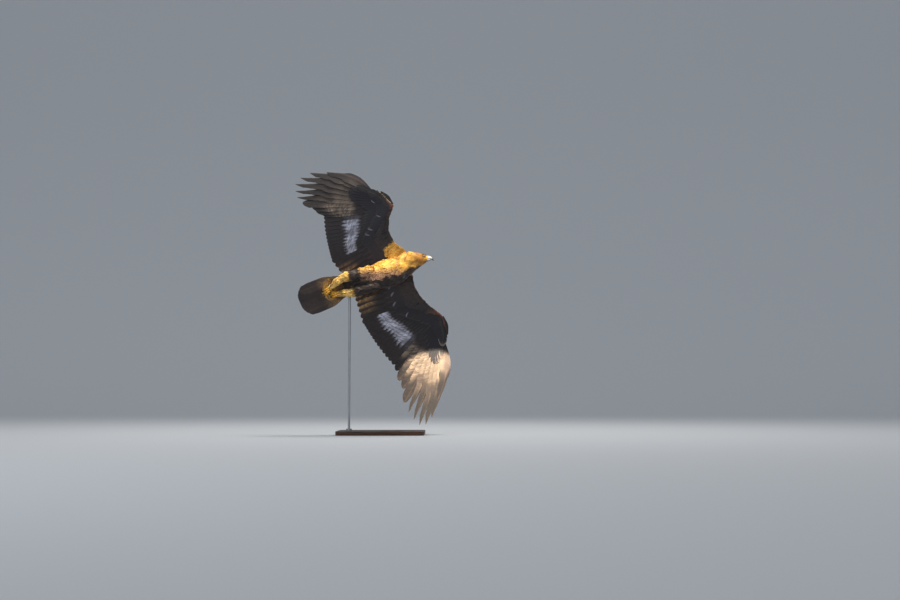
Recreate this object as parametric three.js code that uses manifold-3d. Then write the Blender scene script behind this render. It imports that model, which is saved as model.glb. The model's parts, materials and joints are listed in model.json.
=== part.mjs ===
// A life-size golden eagle in a banked turn, held by one rod on a flat base. Millimetres.
// The bird is built in its plan frame: +X towards the bill, +Y to its left, +Z up through its back.
// The finished bird is then turned into its bank above the base, where +Z is up and the floor is at 0.
import * as THREE from "three";
import { mergeVertices } from "three/addons/utils/BufferGeometryUtils.js";
import Module from "manifold-3d";

const wasm = await Module();
wasm.setup();

// Clearance between pieces that meet
const GAP = 0.3;

// How the bird hangs in the air
const PLAN_HEIGHT = 940; // of the plan frame's origin above the floor
const PLAN_PLACE = [-40, -20]; // of that origin from the middle of the base
const CLIMB = 17.7; // nose up, degrees
const LEAN = 5; // back of the plan frame above the horizon, degrees

// Display stand
const BASE = { length: 520, width: 400, thick: 24, corner: 40, chamfer: 3 };
const ROD = { radius: 7, sides: 16, at: [-166, 22, 4] };
const COLLAR = { radius: 17, height: 12, sides: 24 };

// Body, as oval sections: centre, half width, height above and depth below it, roll to the left in degrees
const BODY = [
  { at: [-216, -9, 3], wide: 57, up: 13, down: 17, roll: 12 },
  { at: [-196, -8, 3], wide: 87, up: 19, down: 25, roll: 12 },
  { at: [-165, -5, 2], wide: 72, up: 28, down: 40, roll: 12 },
  { at: [-115, -2, 0], wide: 68, up: 38, down: 56, roll: 12 },
  { at: [-55, 0, 0], wide: 74, up: 47, down: 73, roll: 12 },
  { at: [5, 0, 0], wide: 81, up: 53, down: 86, roll: 12 },
  { at: [60, 0, 0], wide: 87, up: 56, down: 91, roll: 12 },
  { at: [110, 0, 0], wide: 86, up: 55, down: 85, roll: 12 },
  { at: [152, 0, 2], wide: 79, up: 51, down: 72, roll: 12 },
  { at: [186, -5, 5], wide: 74, up: 48, down: 60, roll: 13 },
  { at: [215, -20, 9], wide: 74, up: 47, down: 55, roll: 16 },
  { at: [243, -24, 12], wide: 76, up: 44, down: 50, roll: 23 },
  { at: [268, -18, 14], wide: 59, up: 42, down: 46, roll: 36 },
  { at: [290, -21, 14], wide: 44, up: 41, down: 42, roll: 50 },
  { at: [304, -18, 13], wide: 35, up: 35, down: 36, roll: 58 },
  { at: [318, -16, 12], wide: 28, up: 28, down: 30, roll: 58 },
  { at: [328, -13, 11], wide: 17, up: 17, down: 20, roll: 58 },];
const BODY_SIDES = 18;
const TAIL_CUT = -190;
const NECK_CUT = 196;
const HEAD_CUT = 262;

// Head, in a frame of its own between the eyes: kept nearly level while the body banks
const HEAD = { at: [303, -16, 13], roll: 58, yaw: 8 };
const EYE = { radius: 11.5, out: 21.5, up: 5, forward: 11 };
const LID = { radius: 9.2, tube: 1.8, out: 28.5 };
const BROW = { length: 18, wide: 6.5, deep: 4.5, out: 25, ahead: 11, above: 11 };
const CERE_FRONT = 36;
const CERE_BACK = 1;
const JAW_BACK = 8;

// Wing bones and feathers, the same on both sides
const HUMERUS = 178;
const ULNA = 208;
const HAND = 122;
const PRIMARIES = [398, 429, 448, 510, 551, 570, 583, 561, 504, 383];
const SECONDARIES = { count: 12, first: 387, last: 266 };
const TERTIALS = { count: 6, first: 266, last: 268 };
// Two tiers of coverts on each flight feather: how far back the root sits, size, and height off it
const GREAT = { back: 2, share: 0.34, wide: 38, above: 6 };
const MEDIAN = { back: -30, length: 88, wide: 50, above: 10.6 };
const HAND_REACH = 600;
const CAMBER = 16;

// What each wing does in the turn: angles in degrees ahead of straight out from the body
const LEFT = {
  side: 1,
  shoulder: [116, 66],
  root: 40,
  humerus: -2.3,
  ulna: 58.2,
  hand: -3.0,
  fan: [-58.4, -36.4, -22.9],
  inner: [-61.7, -87.9, -95.0],
  leading: [[226, 53], [172, 160], [316, 337]],
  bend: 4.2,
  armSlope: 0.17,
  handSlope: -0.16,
  handCurve: -0.28,
};
const RIGHT = {
  side: -1,
  shoulder: [106, 72],
  root: 14,
  humerus: -21.3,
  ulna: 50.5,
  hand: -25.5,
  fan: [-77.7, -67.2, -47.0],
  inner: [-79.7, -101.7, -107.0],
  leading: [[236, 84], [93, 218], [240, 373]],
  bend: -12.3,
  armSlope: -0.08,
  handSlope: 0.387,
  handCurve: 0.81,
};

// Tail, in a frame of its own at its root
const TAIL = {
  at: [-200, -10, 4],
  roll: 12,
  yaw: -4.4,
  pairs: 6,
  length: 276,
  half: 60,
  spread: 1.2,
  wide: 67,
};

// Legs, in the plan frame
const LEGS = {
  left: { knee: [-20, 52, -46], ankle: [-158, 46, -46], foot: [-238, 29, -42] },
  right: { knee: [-30, -44, -66], ankle: [-178, -52, -62], foot: [-276, -13, -52] },
};

const COLOURS = {
  body: 0x6f4a26,
  golden: 0xb98538,
  covert: 0x2c2326,
  flight: 0x5d5350,
  tail: 0x2f2522,
  yellow: 0xd9a92c,
  horn: 0x2a2b30,
  eye: 0x8a5418,
  steel: 0x9a9da0,
  wood: 0x3a2b20,
};

const radians = THREE.MathUtils.degToRad;
const mix = THREE.MathUtils.lerp;
const smoothstep = THREE.MathUtils.smoothstep;
const vector = (x, y, z) => new THREE.Vector3(x, y, z);
const even = (count, make) => Array.from({ length: count }, (_, i) => make(i / (count - 1), i));

// A closed surface as a solid, its corners merged and turned right side out
function solidOf(geometry) {
  const bare = new THREE.BufferGeometry().setAttribute("position", geometry.getAttribute("position"));
  bare.setIndex(geometry.index);
  const merged = mergeVertices(bare, 1e-4);
  const vertProperties = merged.attributes.position.array;
  const triVerts = new Uint32Array(merged.index.array);
  const solid = new wasm.Manifold(new wasm.Mesh({ numProp: 3, vertProperties, triVerts }));
  if (solid.volume() > 0) return solid;
  for (let i = 0; i < triVerts.length; i += 3) {
    [triVerts[i], triVerts[i + 1]] = [triVerts[i + 1], triVerts[i]];
  }
  return new wasm.Manifold(new wasm.Mesh({ numProp: 3, vertProperties, triVerts }));
}

function fromFaces(points, faces) {
  return solidOf(new THREE.BufferGeometry().setFromPoints(points).setIndex(faces.flat()));
}

// A closed body through rings of points, with a fan of triangles over each end
function sweep(rings) {
  const sides = rings[0].length;
  const points = rings.flat();
  const faces = [];
  for (let ring = 0; ring + 1 < rings.length; ring++) {
    for (let side = 0; side < sides; side++) {
      const here = ring * sides + side;
      const next = ring * sides + ((side + 1) % sides);
      faces.push([here, next, next + sides], [here, next + sides, here + sides]);
    }
  }
  [0, rings.length - 1].forEach((ring, end) => {
    const middle = points.length;
    points.push(rings[ring].reduce((sum, p) => sum.add(p), vector(0, 0, 0)).divideScalar(sides));
    for (let side = 0; side < sides; side++) {
      const here = ring * sides + side;
      const next = ring * sides + ((side + 1) % sides);
      faces.push(end ? [middle, here, next] : [middle, next, here]);
    }
  });
  return fromFaces(points, faces);
}

// A thin sheet over a grid of points, each with a top and a bottom, split alike on both faces
function plate(rows) {
  const across = rows[0].length;
  const along = rows.length;
  const points = rows.flat().flatMap(({ top, bottom }) => [top, bottom]);
  const at = (row, column) => 2 * (row * across + column);
  const faces = [];
  for (let row = 0; row + 1 < along; row++) {
    for (let column = 0; column + 1 < across; column++) {
      const [a, b] = [at(row, column), at(row, column + 1)];
      const [d, c] = [at(row + 1, column), at(row + 1, column + 1)];
      faces.push([a, b, c], [a, c, d], [a + 1, c + 1, b + 1], [a + 1, d + 1, c + 1]);
    }
  }
  const rim = [];
  for (let column = 0; column + 1 < across; column++) rim.push(at(0, column));
  for (let row = 0; row + 1 < along; row++) rim.push(at(row, across - 1));
  for (let column = across - 1; column > 0; column--) rim.push(at(along - 1, column));
  for (let row = along - 1; row > 0; row--) rim.push(at(row, 0));
  rim.forEach((u, i) => {
    const v = rim[(i + 1) % rim.length];
    faces.push([v, u, u + 1], [v, u + 1, v + 1]);
  });
  return fromFaces(points, faces);
}

const union = (solids) => wasm.Manifold.union(solids);

// The largest closed surface of a solid
function largest(solid) {
  return solid.decompose().sort((one, other) => other.volume() - one.volume())[0];
}

// An oval ring about a centre, with its own height above and below
function oval(centre, across, upward, wide, up, down, sides) {
  return Array.from({ length: sides }, (_, i) => {
    const turn = (2 * Math.PI * i) / sides;
    const rise = Math.sin(turn);
    return centre
      .clone()
      .addScaledVector(across, wide * Math.cos(turn))
      .addScaledVector(upward, rise * (rise > 0 ? up : down));
  });
}

// A limb along a smooth curve, with radii spaced evenly along it
function limb(points, radii, sides, steps, grow = 0) {
  const curve = new THREE.CatmullRomCurve3(points);
  const frames = curve.computeFrenetFrames(steps, false);
  const rings = even(steps + 1, (t, i) => {
    const place = t * (radii.length - 1);
    const from = Math.min(Math.floor(place), radii.length - 2);
    const radius = mix(radii[from], radii[from + 1], place - from) + grow;
    return oval(curve.getPointAt(t), frames.normals[i], frames.binormals[i], radius, radius, radius, sides);
  });
  return sweep(rings);
}

function ball(centre, radii, wide = 12, high = 8) {
  return solidOf(new THREE.SphereGeometry(1, wide, high).scale(...radii).translate(...centre));
}

// The place and turn of a part with a frame of its own
function frameOf({ at, roll, yaw }) {
  const turn = new THREE.Euler(radians(roll), 0, radians(yaw), "ZYX");
  return new THREE.Matrix4().makeRotationFromEuler(turn).setPosition(...at);
}
const placed = (solid, frame) => solid.transform(frame.toArray());

// Body and neck

const AHEAD = [1, 0, 0];
const ASTERN = [-1, 0, 0];

function bodyWhole(grow = 0) {
  const rings = BODY.map(({ at, wide, up, down, roll }, i) => {
    const end = grow * (i === BODY.length - 1 ? 1 : i === 0 ? -1 : 0);
    const [cos, sin] = [Math.cos(radians(roll)), Math.sin(radians(roll))];
    const centre = vector(at[0] + end, at[1], at[2]);
    const [across, upward] = [vector(0, cos, sin), vector(0, -sin, cos)];
    return oval(centre, across, upward, wide + grow, up + grow, down + grow, BODY_SIDES);
  });
  return sweep(rings);
}

function between(solid, low, high) {
  return solid.trimByPlane(AHEAD, low + GAP / 2).trimByPlane(ASTERN, -high + GAP / 2);
}

// Head

// The upper bill with the cere, swept down into its hook
function upperBill(grow = 0) {
  const stations = [
    { x: 4, z: 0, wide: 13, high: 13, turn: 0 },
    { x: 24, z: 1, wide: 13, high: 14, turn: 0 },
    { x: 36, z: 1, wide: 11.5, high: 14, turn: 4 },
    { x: 46, z: -1, wide: 9, high: 12, turn: 16 },
    { x: 54, z: -5.5, wide: 6.6, high: 9, turn: 38 },
    { x: 60, z: -12, wide: 4.4, high: 6, turn: 62 },
    { x: 62.5, z: -20, wide: 2, high: 2.6, turn: 80 },
    { x: 62.6, z: -26, wide: 0.5, high: 0.6, turn: 84 },
  ];
  const rings = stations.map(({ x, z, wide, high, turn }) => {
    const upward = vector(Math.sin(radians(turn)), 0, Math.cos(radians(turn)));
    return oval(vector(x, 0, z), vector(0, 1, 0), upward, wide + grow, high + grow, high * 0.86 + grow, 14);
  });
  return sweep(rings);
}

function lowerBill(grow = 0) {
  const stations = [
    { x: 4, z: -15, wide: 12, high: 7 },
    { x: 28, z: -14.5, wide: 10.5, high: 6.5 },
    { x: 42, z: -14, wide: 7.5, high: 5 },
    { x: 52, z: -12.5, wide: 3, high: 2 },
  ];
  const rings = stations.map(({ x, z, wide, high }) =>
    oval(vector(x, 0, z), vector(0, 1, 0), vector(0, 0, 1), wide + grow, high * 0.5 + grow, high + grow, 12),
  );
  return sweep(rings);
}

// The yellow lip that runs back from the bill under each eye
function gapes(grow = 0) {
  return [1, -1].map((side) =>
    limb(
      [vector(30, side * 10, -10), vector(17, side * 18, -12), vector(2, side * 26.5, -14)],
      [2.4, 2.4, 1.4],
      6,
      4,
      grow,
    ),
  );
}

const eyeball = (side, grow = 0) =>
  ball([EYE.forward, side * EYE.out, EYE.up], Array(3).fill(EYE.radius + grow), 10, 6);

function lidRing(side) {
  const torus = new THREE.TorusGeometry(LID.radius, LID.tube, 4, 12);
  torus.rotateX(Math.PI / 2).rotateZ(radians(-20 * side));
  return solidOf(torus.translate(EYE.forward, side * LID.out, EYE.up));
}

function brow(side) {
  const ridge = ball([0, 0, 0], [BROW.length, BROW.wide, BROW.deep], 8, 6);
  return ridge.rotate([0, 14, -8 * side]).translate([BROW.ahead, side * BROW.out, EYE.up + BROW.above]);
}

function headPieces(whole) {
  const frame = frameOf(HEAD);
  const eyes = [1, -1].map((side) => eyeball(side));
  const sockets = union([1, -1].map((side) => eyeball(side, GAP)));
  const extras = placed(union([1, -1].flatMap((side) => [lidRing(side), brow(side)])), frame);
  const face = union([upperBill(), ...gapes()]);
  const nostrils = union([1, -1].map((side) => ball([29, side * 12, 5], [1.8, 4, 3.4], 8, 6)));
  const cere = face.trimByPlane(ASTERN, -CERE_FRONT + GAP / 2).trimByPlane(AHEAD, CERE_BACK);
  const faceRoom = union([upperBill(GAP), ...gapes(GAP)]);
  const jaw = lowerBill().trimByPlane(AHEAD, JAW_BACK).subtract(faceRoom);
  const room = union([
    sockets,
    faceRoom.trimByPlane(AHEAD, CERE_BACK - GAP),
    lowerBill(GAP).trimByPlane(AHEAD, JAW_BACK - GAP),
  ]);
  return {
    head: largest(between(whole, HEAD_CUT, 400).add(extras).subtract(placed(room, frame))),
    cere: placed(largest(cere.subtract(nostrils).subtract(sockets)), frame),
    bill_upper: placed(largest(face.trimByPlane(AHEAD, CERE_FRONT + GAP / 2)), frame),
    bill_lower: placed(largest(jaw), frame),
    eye_left: placed(eyes[0], frame),
    eye_right: placed(eyes[1], frame),
  };
}

// Wings

// Plan direction, as (forward, out), at an angle ahead of straight out
const heading = (angle) => [Math.sin(radians(angle)), Math.cos(radians(angle))];
const step = ([a, p], angle, length) => {
  const [da, dp] = heading(angle);
  return [a + da * length, p + dp * length];
};
const blend = ([a, p], [b, q], t) => [mix(a, b, t), mix(p, q, t)];

// One wing's plan and the height of its surface over that plan
class Wing {
  constructor(pose) {
    Object.assign(this, pose);
    this.elbow = step(this.shoulder, this.humerus, HUMERUS);
    this.wrist = step(this.elbow, this.ulna, ULNA);
    this.fingertip = step(this.wrist, this.hand, HAND);
    this.axis = heading(this.bend);
  }

  // A sloping, cambered arm, and a hand that bends up towards the tips
  lift(a, p) {
    const [sa, sp] = this.shoulder;
    const [wa, wp] = this.wrist;
    const reach = Math.hypot(wa - sa, wp - sp);
    const behind = ((wa - sa) * (p - sp) - (wp - sp) * (a - sa)) / reach;
    const past = (a - wa) * this.axis[0] + (p - wp) * this.axis[1];
    const beyond = (past + Math.hypot(past, 60)) / 2;
    const arch = CAMBER * (1 - Math.min(1.6, ((behind - 130) / 230) ** 2));
    return (
      this.root +
      this.armSlope * (p - sp) +
      arch * (1 - smoothstep(beyond, 60, 300)) +
      this.handSlope * beyond +
      (this.handCurve * beyond * beyond) / (2 * HAND_REACH)
    );
  }

  at([a, p], above = 0) {
    return vector(a, this.side * p, this.lift(a, p) + above);
  }

  // How far a feather of this length reaches in the plan, as it follows the surface
  planLength(root, angle, length) {
    const stride = 4;
    let along = 0;
    let plan = 0;
    while (along < length) {
      const here = this.at(step(root, angle, plan));
      along += here.distanceTo(this.at(step(root, angle, plan + stride)));
      plan += stride;
    }
    return plan;
  }

  // A point of the leading edge between the body, 0, and the wrist, 1
  leadingAt(t) {
    const [from, over, to] = this.leading;
    return blend(blend(from, over, t), blend(over, to, t), t);
  }
}

// The flight feathers of a wing from the outermost primary in, each with its root, heading and size
function flights(wing) {
  const feather = (kind, bone, angle, length, rest) => {
    return { kind, angle, length, root: step(bone, angle, 4), ...rest };
  };
  const [first, middle, last] = wing.fan;
  const primaries = even(PRIMARIES.length, (t, i) => {
    const angle = first * (1 - t) * (1 - 2 * t) + middle * 4 * t * (1 - t) + last * t * (2 * t - 1);
    const bone = blend(wing.wrist, wing.fingertip, mix(0.1, 0.93, t));
    const finger = i >= 4;
    const level = -0.9 * Math.max(0, i - 4);
    const bow = mix(0.02, 0.1, t ** 3);
    return feather("primary", bone, angle, PRIMARIES[i], { wide: finger ? 64 : 68, finger, level, bow });
  });
  const [outer, inner, innermost] = wing.inner;
  const secondaries = even(SECONDARIES.count, (t) => {
    const bone = blend(wing.wrist, wing.elbow, mix(0.045, 0.955, t));
    const length = mix(SECONDARIES.first, SECONDARIES.last, t);
    return feather("secondary", bone, mix(outer, inner, t), length, { wide: 66, bow: 0.02 });
  });
  const tertials = even(TERTIALS.count, (t) => {
    const bone = blend(wing.elbow, wing.shoulder, mix(0.09, 0.9, t));
    const length = mix(TERTIALS.first, TERTIALS.last, t);
    return feather("tertial", bone, mix(inner, innermost, t), length, { wide: 62, bow: 0.01 });
  });
  const all = [...primaries.reverse(), ...secondaries, ...tertials];
  return all.map((f, i) => ({ ...f, paired: i % 2 === 1 }));
}

// Share of a feather's full width at each step along it
const BROAD = [[0, 0.1], [0.2, 0.5], [0.45, 0.96], [0.9, 0.9], [1, 0.34]];
const FINGER = [[0, 0.1], [0.14, 0.3], [0.38, 0.96], [0.74, 1], [0.85, 0.66], [0.95, 0.5], [1, 0.16]];
const COVERT = [[0, 0.3], [0.75, 1], [1, 0.35]];

const VANE_THICK = 0.8;
const TILT = 0.09;

// One vane that lies along the wing: its leading edge is lower than its neighbour's trailing edge
function vane(wing, { root, angle, length, wide, lead = 0.4, level = 0, sunk = 1, outline, bow = 0.02 }) {
  const plan = wing.planLength(root, angle, length);
  const inner = heading(angle - 90);
  const rows = outline.map(([t, share]) => {
    const bend = -4 * bow * plan * t * (1 - t);
    const [a, p] = step(root, angle, plan * t);
    return [-lead, 1 - lead].map((column) => {
      const x = column * wide * share;
      const place = [a + inner[0] * (x + bend), p + inner[1] * (x + bend)];
      const above = level * Math.min(1, sunk + 2 * t) - TILT * x;
      return { top: wing.at(place, above + VANE_THICK / 2), bottom: wing.at(place, above - VANE_THICK / 2) };
    });
  });
  return plate(rows);
}

// A flight feather with two tiers of coverts over and under its root
function plumes(wing, f) {
  const level = f.level ?? 0;
  const covert = (tier, length, above) =>
    vane(wing, {
      root: step(f.root, f.angle, tier.back),
      angle: f.angle,
      length,
      wide: tier.wide,
      lead: 0.5,
      level: level + above,
      sunk: 0.6,
      outline: COVERT,
    });
  const shape = f.finger ? { outline: FINGER, lead: 0.36 } : { outline: BROAD, lead: 0.42 };
  const great = [-GREAT.above, GREAT.above].map((above) => covert(GREAT, f.length * GREAT.share, above));
  const median = [-MEDIAN.above, MEDIAN.above].map((above) => covert(MEDIAN, MEDIAN.length, above));
  return [vane(wing, { ...f, ...shape, level }), ...great, ...(f.paired ? [] : median)];
}

// Sections of the wing's flesh, from inside the body to the fingertip
function armSections(wing) {
  const { shoulder, elbow, wrist, fingertip, leading } = wing;
  const back = ([a, p], by) => [a - by, p];
  return [
    { front: [212, 30], rear: [shoulder[0] - 30, 6], half: 19, rearHalf: 8 },
    { front: wing.leadingAt(0.03), rear: [shoulder[0] - 30, leading[0][1]], half: 19, rearHalf: 8 },
    { front: wing.leadingAt(0.28), rear: back(blend(shoulder, elbow, 0.5), 22), half: 17, rearHalf: 7 },
    { front: wing.leadingAt(0.55), rear: back(blend(shoulder, elbow, 1), 22), half: 15, rearHalf: 6.5 },
    {
      front: wing.leadingAt(0.8),
      rear: step(blend(elbow, wrist, 0.5), wing.inner[0], 20),
      half: 13.5,
      rearHalf: 6,
    },
    { front: leading[2], rear: step(wrist, wing.fan[0] + 4, 20), half: 12.5, rearHalf: 5.5 },
    {
      front: step(blend(wrist, fingertip, 0.5), wing.hand + 90, 38),
      rear: step(blend(wrist, fingertip, 0.5), wing.fan[1], 17),
      half: 9,
      rearHalf: 4.5,
    },
    {
      front: step(step(fingertip, wing.hand, 6), wing.hand + 90, 31),
      rear: step(fingertip, wing.fan[2] - 30, 9),
      half: 5,
      rearHalf: 3,
    },
  ];
}

// The flesh between two sections
function armCore(wing, from, to, grow = 0) {
  const sections = armSections(wing);
  const profile = [[0, 0], [0.07, 0.6], [0.3, 1], [0.65, 0.85]];
  const rings = sections.slice(from, to + 1).map(({ front, rear, half, rearHalf }, i, all) => {
    const first = i === 0;
    const last = i === all.length - 1;
    const clear = (first && from > 0 ? GAP / 2 : 0) - (last && to < sections.length - 1 ? GAP / 2 : 0);
    const shift = clear + grow * (last ? 1 : first ? -1 : 0);
    const chord = Math.hypot(front[0] - rear[0], front[1] - rear[1]);
    const ahead = [(front[0] - rear[0]) / chord, (front[1] - rear[1]) / chord];
    const place = (t) => {
      const [a, p] = blend(front, rear, t);
      const by = grow * (1 - 2 * t);
      return [a - ahead[1] * shift + ahead[0] * by, p + ahead[0] * shift + ahead[1] * by];
    };
    return [
      ...profile.map(([t, share]) => wing.at(place(t), share * half + (share ? grow : 0))),
      wing.at(place(1), rearHalf + grow),
      wing.at(place(1), -rearHalf - grow),
      ...profile.slice(1).map(([t, share]) => wing.at(place(t), -share * half - grow)).reverse(),
    ];
  });
  return sweep(rings);
}

// The thumb with its small feathers, along the leading edge beyond the wrist
function alula(wing, room) {
  const corner = wing.leading[2];
  const root = step(corner, wing.hand, 12);
  const thumb = [2, 22, 44].map((out) => wing.at(step(step(corner, wing.hand, out), wing.hand + 90, -3), 6));
  const vanes = [0, 1, 2].map((i) =>
    vane(wing, {
      root: step(root, wing.hand - 70, 4 * i),
      angle: wing.hand - 1 - 4 * i,
      length: 118 - 16 * i,
      wide: 26,
      level: 13.5 + 2 * i,
      sunk: 0.5,
      outline: COVERT,
      bow: 0.04,
    }),
  );
  return largest(union([limb(thumb, [7, 6, 3.5], 6, 3), ...vanes]).subtract(room));
}

const NODES = [
  { name: "arm", from: 0, to: 3, kind: "tertial" },
  { name: "forearm", from: 3, to: 5, kind: "secondary" },
  { name: "hand", from: 5, to: 7, kind: "primary" },
];

function wingPieces(pose, bodyRoom) {
  const wing = new Wing(pose);
  const all = flights(wing);
  const pieces = {};
  for (const { name, from, to, kind } of NODES) {
    const vanes = all.filter((f) => f.kind === kind).flatMap((f) => plumes(wing, f));
    const others = union(NODES.filter((n) => n.name !== name).map((n) => armCore(wing, n.from, n.to, GAP)));
    const free = union(vanes).subtract(others);
    pieces[name] = largest(union([armCore(wing, from, to), free]).subtract(bodyRoom));
  }
  const flesh = union(NODES.map((n) => armCore(wing, n.from, n.to, GAP)));
  pieces.alula = alula(wing, flesh);
  return pieces;
}

// Tail

// One tail feather or covert, lying back from its root at a level of its own
function tailVane({ x = 0, y, angle, length, wide, level, outline }) {
  const turn = radians(angle);
  const rows = outline.map(([t, share]) =>
    [1, -1].map((edge) => {
      const across = (edge * wide * share) / 2;
      const back = x - length * t * Math.cos(turn) - across * Math.sin(turn);
      const out = y + length * t * Math.sin(turn) + across * Math.cos(turn);
      const [top, bottom] = [0.5, -0.5].map((half) => vector(back, out, level + half * VANE_THICK));
      return { top, bottom };
    }),
  );
  return plate(rows);
}

const TAIL_OUTLINE = [[0, 0.2], [0.25, 0.8], [0.85, 1], [0.97, 0.7], [1, 0.3]];
const TAIL_STEP = 1.25;

// The fan with its coverts: the middle pair lies on top, and the left of each pair just below the right
function tail(whole) {
  const frame = frameOf(TAIL);
  const vanes = [1, -1].flatMap((side) =>
    even(TAIL.pairs, (t, k) => {
      const rank = 2 * k + (side > 0 ? 1 : 0);
      const y = side * (5 + t * (TAIL.half - 5));
      const angle = side * TAIL.spread * (t + 0.1);
      const level = 2 - TAIL_STEP * rank;
      const flight = { y, angle, length: TAIL.length * (1 - 0.09 * t ** 3), wide: TAIL.wide, level };
      const covert = { x: 6, y: y * 0.92, angle: angle * 1.5, wide: 40 };
      const over = { ...covert, length: 118 - 12 * t, level: 9 - 0.45 * rank };
      const under = { ...covert, length: 138 - 30 * t, level: -16 - 0.45 * rank };
      const coverts = k % 2 ? [] : [over, under].map((covert) => tailVane({ ...covert, outline: COVERT }));
      return [tailVane({ ...flight, outline: TAIL_OUTLINE }), ...coverts];
    }).flat(),
  );
  const free = placed(union(vanes), frame).trimByPlane(ASTERN, -TAIL_CUT + GAP / 2);
  return largest(union([between(whole, -300, TAIL_CUT), free]));
}

// Legs and feet

const TOES = [
  { name: "outer", side: 9, path: [[0, 0], [12, 9], [26, 11], [37, 4]], claw: [[45, -3], [45, -13]] },
  { name: "middle", side: 0, path: [[0, 2], [13, 11], [30, 12], [42, 3]], claw: [[50, -5], [49, -16]] },
  { name: "inner", side: -9, path: [[0, 0], [12, 9], [26, 11], [37, 4]], claw: [[45, -3], [44, -15]] },
  { name: "rear", side: 0, path: [[0, -3], [3, -10], [12, -14]], claw: [[23, -13], [31, -6]] },
];

function leg({ knee, ankle, foot }, grow = 0) {
  const points = [knee, ankle, foot].map((p) => vector(...p));
  const hip = points[0].clone().add(vector(30, 0, 12));
  return {
    thigh: limb([hip, points[0], points[1]], [20, 31, 26, 15], 12, 6, grow),
    tarsus: limb([points[1], points[2]], [13, 11, 9], 10, 3, grow),
  };
}

// The pad with its toes, and the claws, curled back under the tail
function footPieces({ ankle, foot }, outward) {
  const root = vector(...foot);
  const along = root.clone().sub(vector(...ankle)).normalize();
  const across = vector(0, outward, 0);
  const down = along.clone().cross(across).multiplyScalar(outward).normalize();
  const point = (side, [back, under]) =>
    root
      .clone()
      .addScaledVector(across, side * (1 + back / 60))
      .addScaledVector(along, back)
      .addScaledVector(down, under);
  const toes = TOES.map(({ side, path }) => limb(path.map((p) => point(side, p)), [7, 6, 5], 6, 3));
  const claws = (grow) =>
    TOES.map(({ side, path, claw }) =>
      limb([path.at(-1), ...claw].map((p) => point(side, p)), [4.2, 3.4, 0.7], 6, 3, grow),
    );
  const pad = ball(root.toArray(), [11, 12, 10], 8, 5);
  return { foot: union([pad, ...toes]).subtract(union(claws(GAP))), claws: claws(0) };
}

// Assembly

const bird = new THREE.Group();
const scene = new THREE.Group();

function add(group, name, solid, colour, rough = 0.7, metal = 0) {
  const mesh = solid.getMesh();
  const geometry = new THREE.BufferGeometry();
  geometry.setAttribute("position", new THREE.BufferAttribute(new Float32Array(mesh.vertProperties), 3));
  geometry.setIndex(new THREE.BufferAttribute(mesh.triVerts, 1));
  geometry.computeVertexNormals();
  const material = new THREE.MeshStandardMaterial({ color: colour, roughness: rough, metalness: metal });
  const made = new THREE.Mesh(geometry, material);
  made.name = name;
  group.add(made);
}

const whole = bodyWhole();
const bodyRoom = bodyWhole(GAP);
add(bird, "torso", between(whole, TAIL_CUT, NECK_CUT), COLOURS.body);
add(bird, "neck", between(whole, NECK_CUT, HEAD_CUT), COLOURS.golden);
const faces = { head: COLOURS.golden, cere: COLOURS.yellow, eye_left: COLOURS.eye, eye_right: COLOURS.eye };
for (const [name, solid] of Object.entries(headPieces(whole))) {
  add(bird, name, solid, faces[name] ?? COLOURS.horn);
}
add(bird, "tail", tail(whole), COLOURS.tail);

for (const [name, pose] of [["left", LEFT], ["right", RIGHT]]) {
  const { alula: thumb, ...parts } = wingPieces(pose, bodyRoom);
  for (const [part, solid] of Object.entries(parts)) {
    add(bird, `wing_${name}_${part}`, solid, COLOURS.flight);
  }
  add(bird, `alula_${name}`, thumb, COLOURS.covert);
  const shape = LEGS[name];
  const { thigh, tarsus } = leg(shape);
  const room = leg(shape, GAP);
  const { foot, claws } = footPieces(shape, pose.side);
  add(bird, `thigh_${name}`, largest(thigh.subtract(bodyRoom)), COLOURS.golden);
  add(bird, `tarsus_${name}`, largest(tarsus.subtract(room.thigh).subtract(bodyRoom)), COLOURS.golden);
  add(bird, `foot_${name}`, largest(foot.subtract(room.tarsus)), COLOURS.yellow);
  claws.forEach((claw, i) => add(bird, `claw_${name}_${TOES[i].name}`, claw, COLOURS.horn));
}

const [climb, lean] = [radians(CLIMB), radians(LEAN)];
const right = vector(1, 0, 0);
const up = vector(0, -Math.sin(lean), Math.cos(lean));
const forward = right.clone().multiplyScalar(Math.cos(climb)).addScaledVector(up, Math.sin(climb));
const left = right.clone().multiplyScalar(Math.sin(climb)).addScaledVector(up, -Math.cos(climb));
const back = vector(0, Math.cos(lean), Math.sin(lean));
bird.matrix.makeBasis(forward, left, back).setPosition(PLAN_PLACE[0], PLAN_PLACE[1], PLAN_HEIGHT);
bird.matrix.decompose(bird.position, bird.quaternion, bird.scale);
scene.add(bird);

function basePlate() {
  const { length, width, thick, corner, chamfer } = BASE;
  const [x, y, r] = [length / 2 - chamfer, width / 2 - chamfer, corner - chamfer];
  const shape = new THREE.Shape();
  shape.absarc(x - r, y - r, r, 0, Math.PI / 2);
  shape.absarc(r - x, y - r, r, Math.PI / 2, Math.PI);
  shape.absarc(r - x, r - y, r, Math.PI, 1.5 * Math.PI);
  shape.absarc(x - r, r - y, r, 1.5 * Math.PI, 2 * Math.PI);
  const bevel = { bevelThickness: chamfer, bevelSize: chamfer, bevelSegments: 1 };
  const board = new THREE.ExtrudeGeometry(shape, { ...bevel, depth: thick - 2 * chamfer, curveSegments: 4 });
  return solidOf(board.translate(0, 0, chamfer));
}

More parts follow.
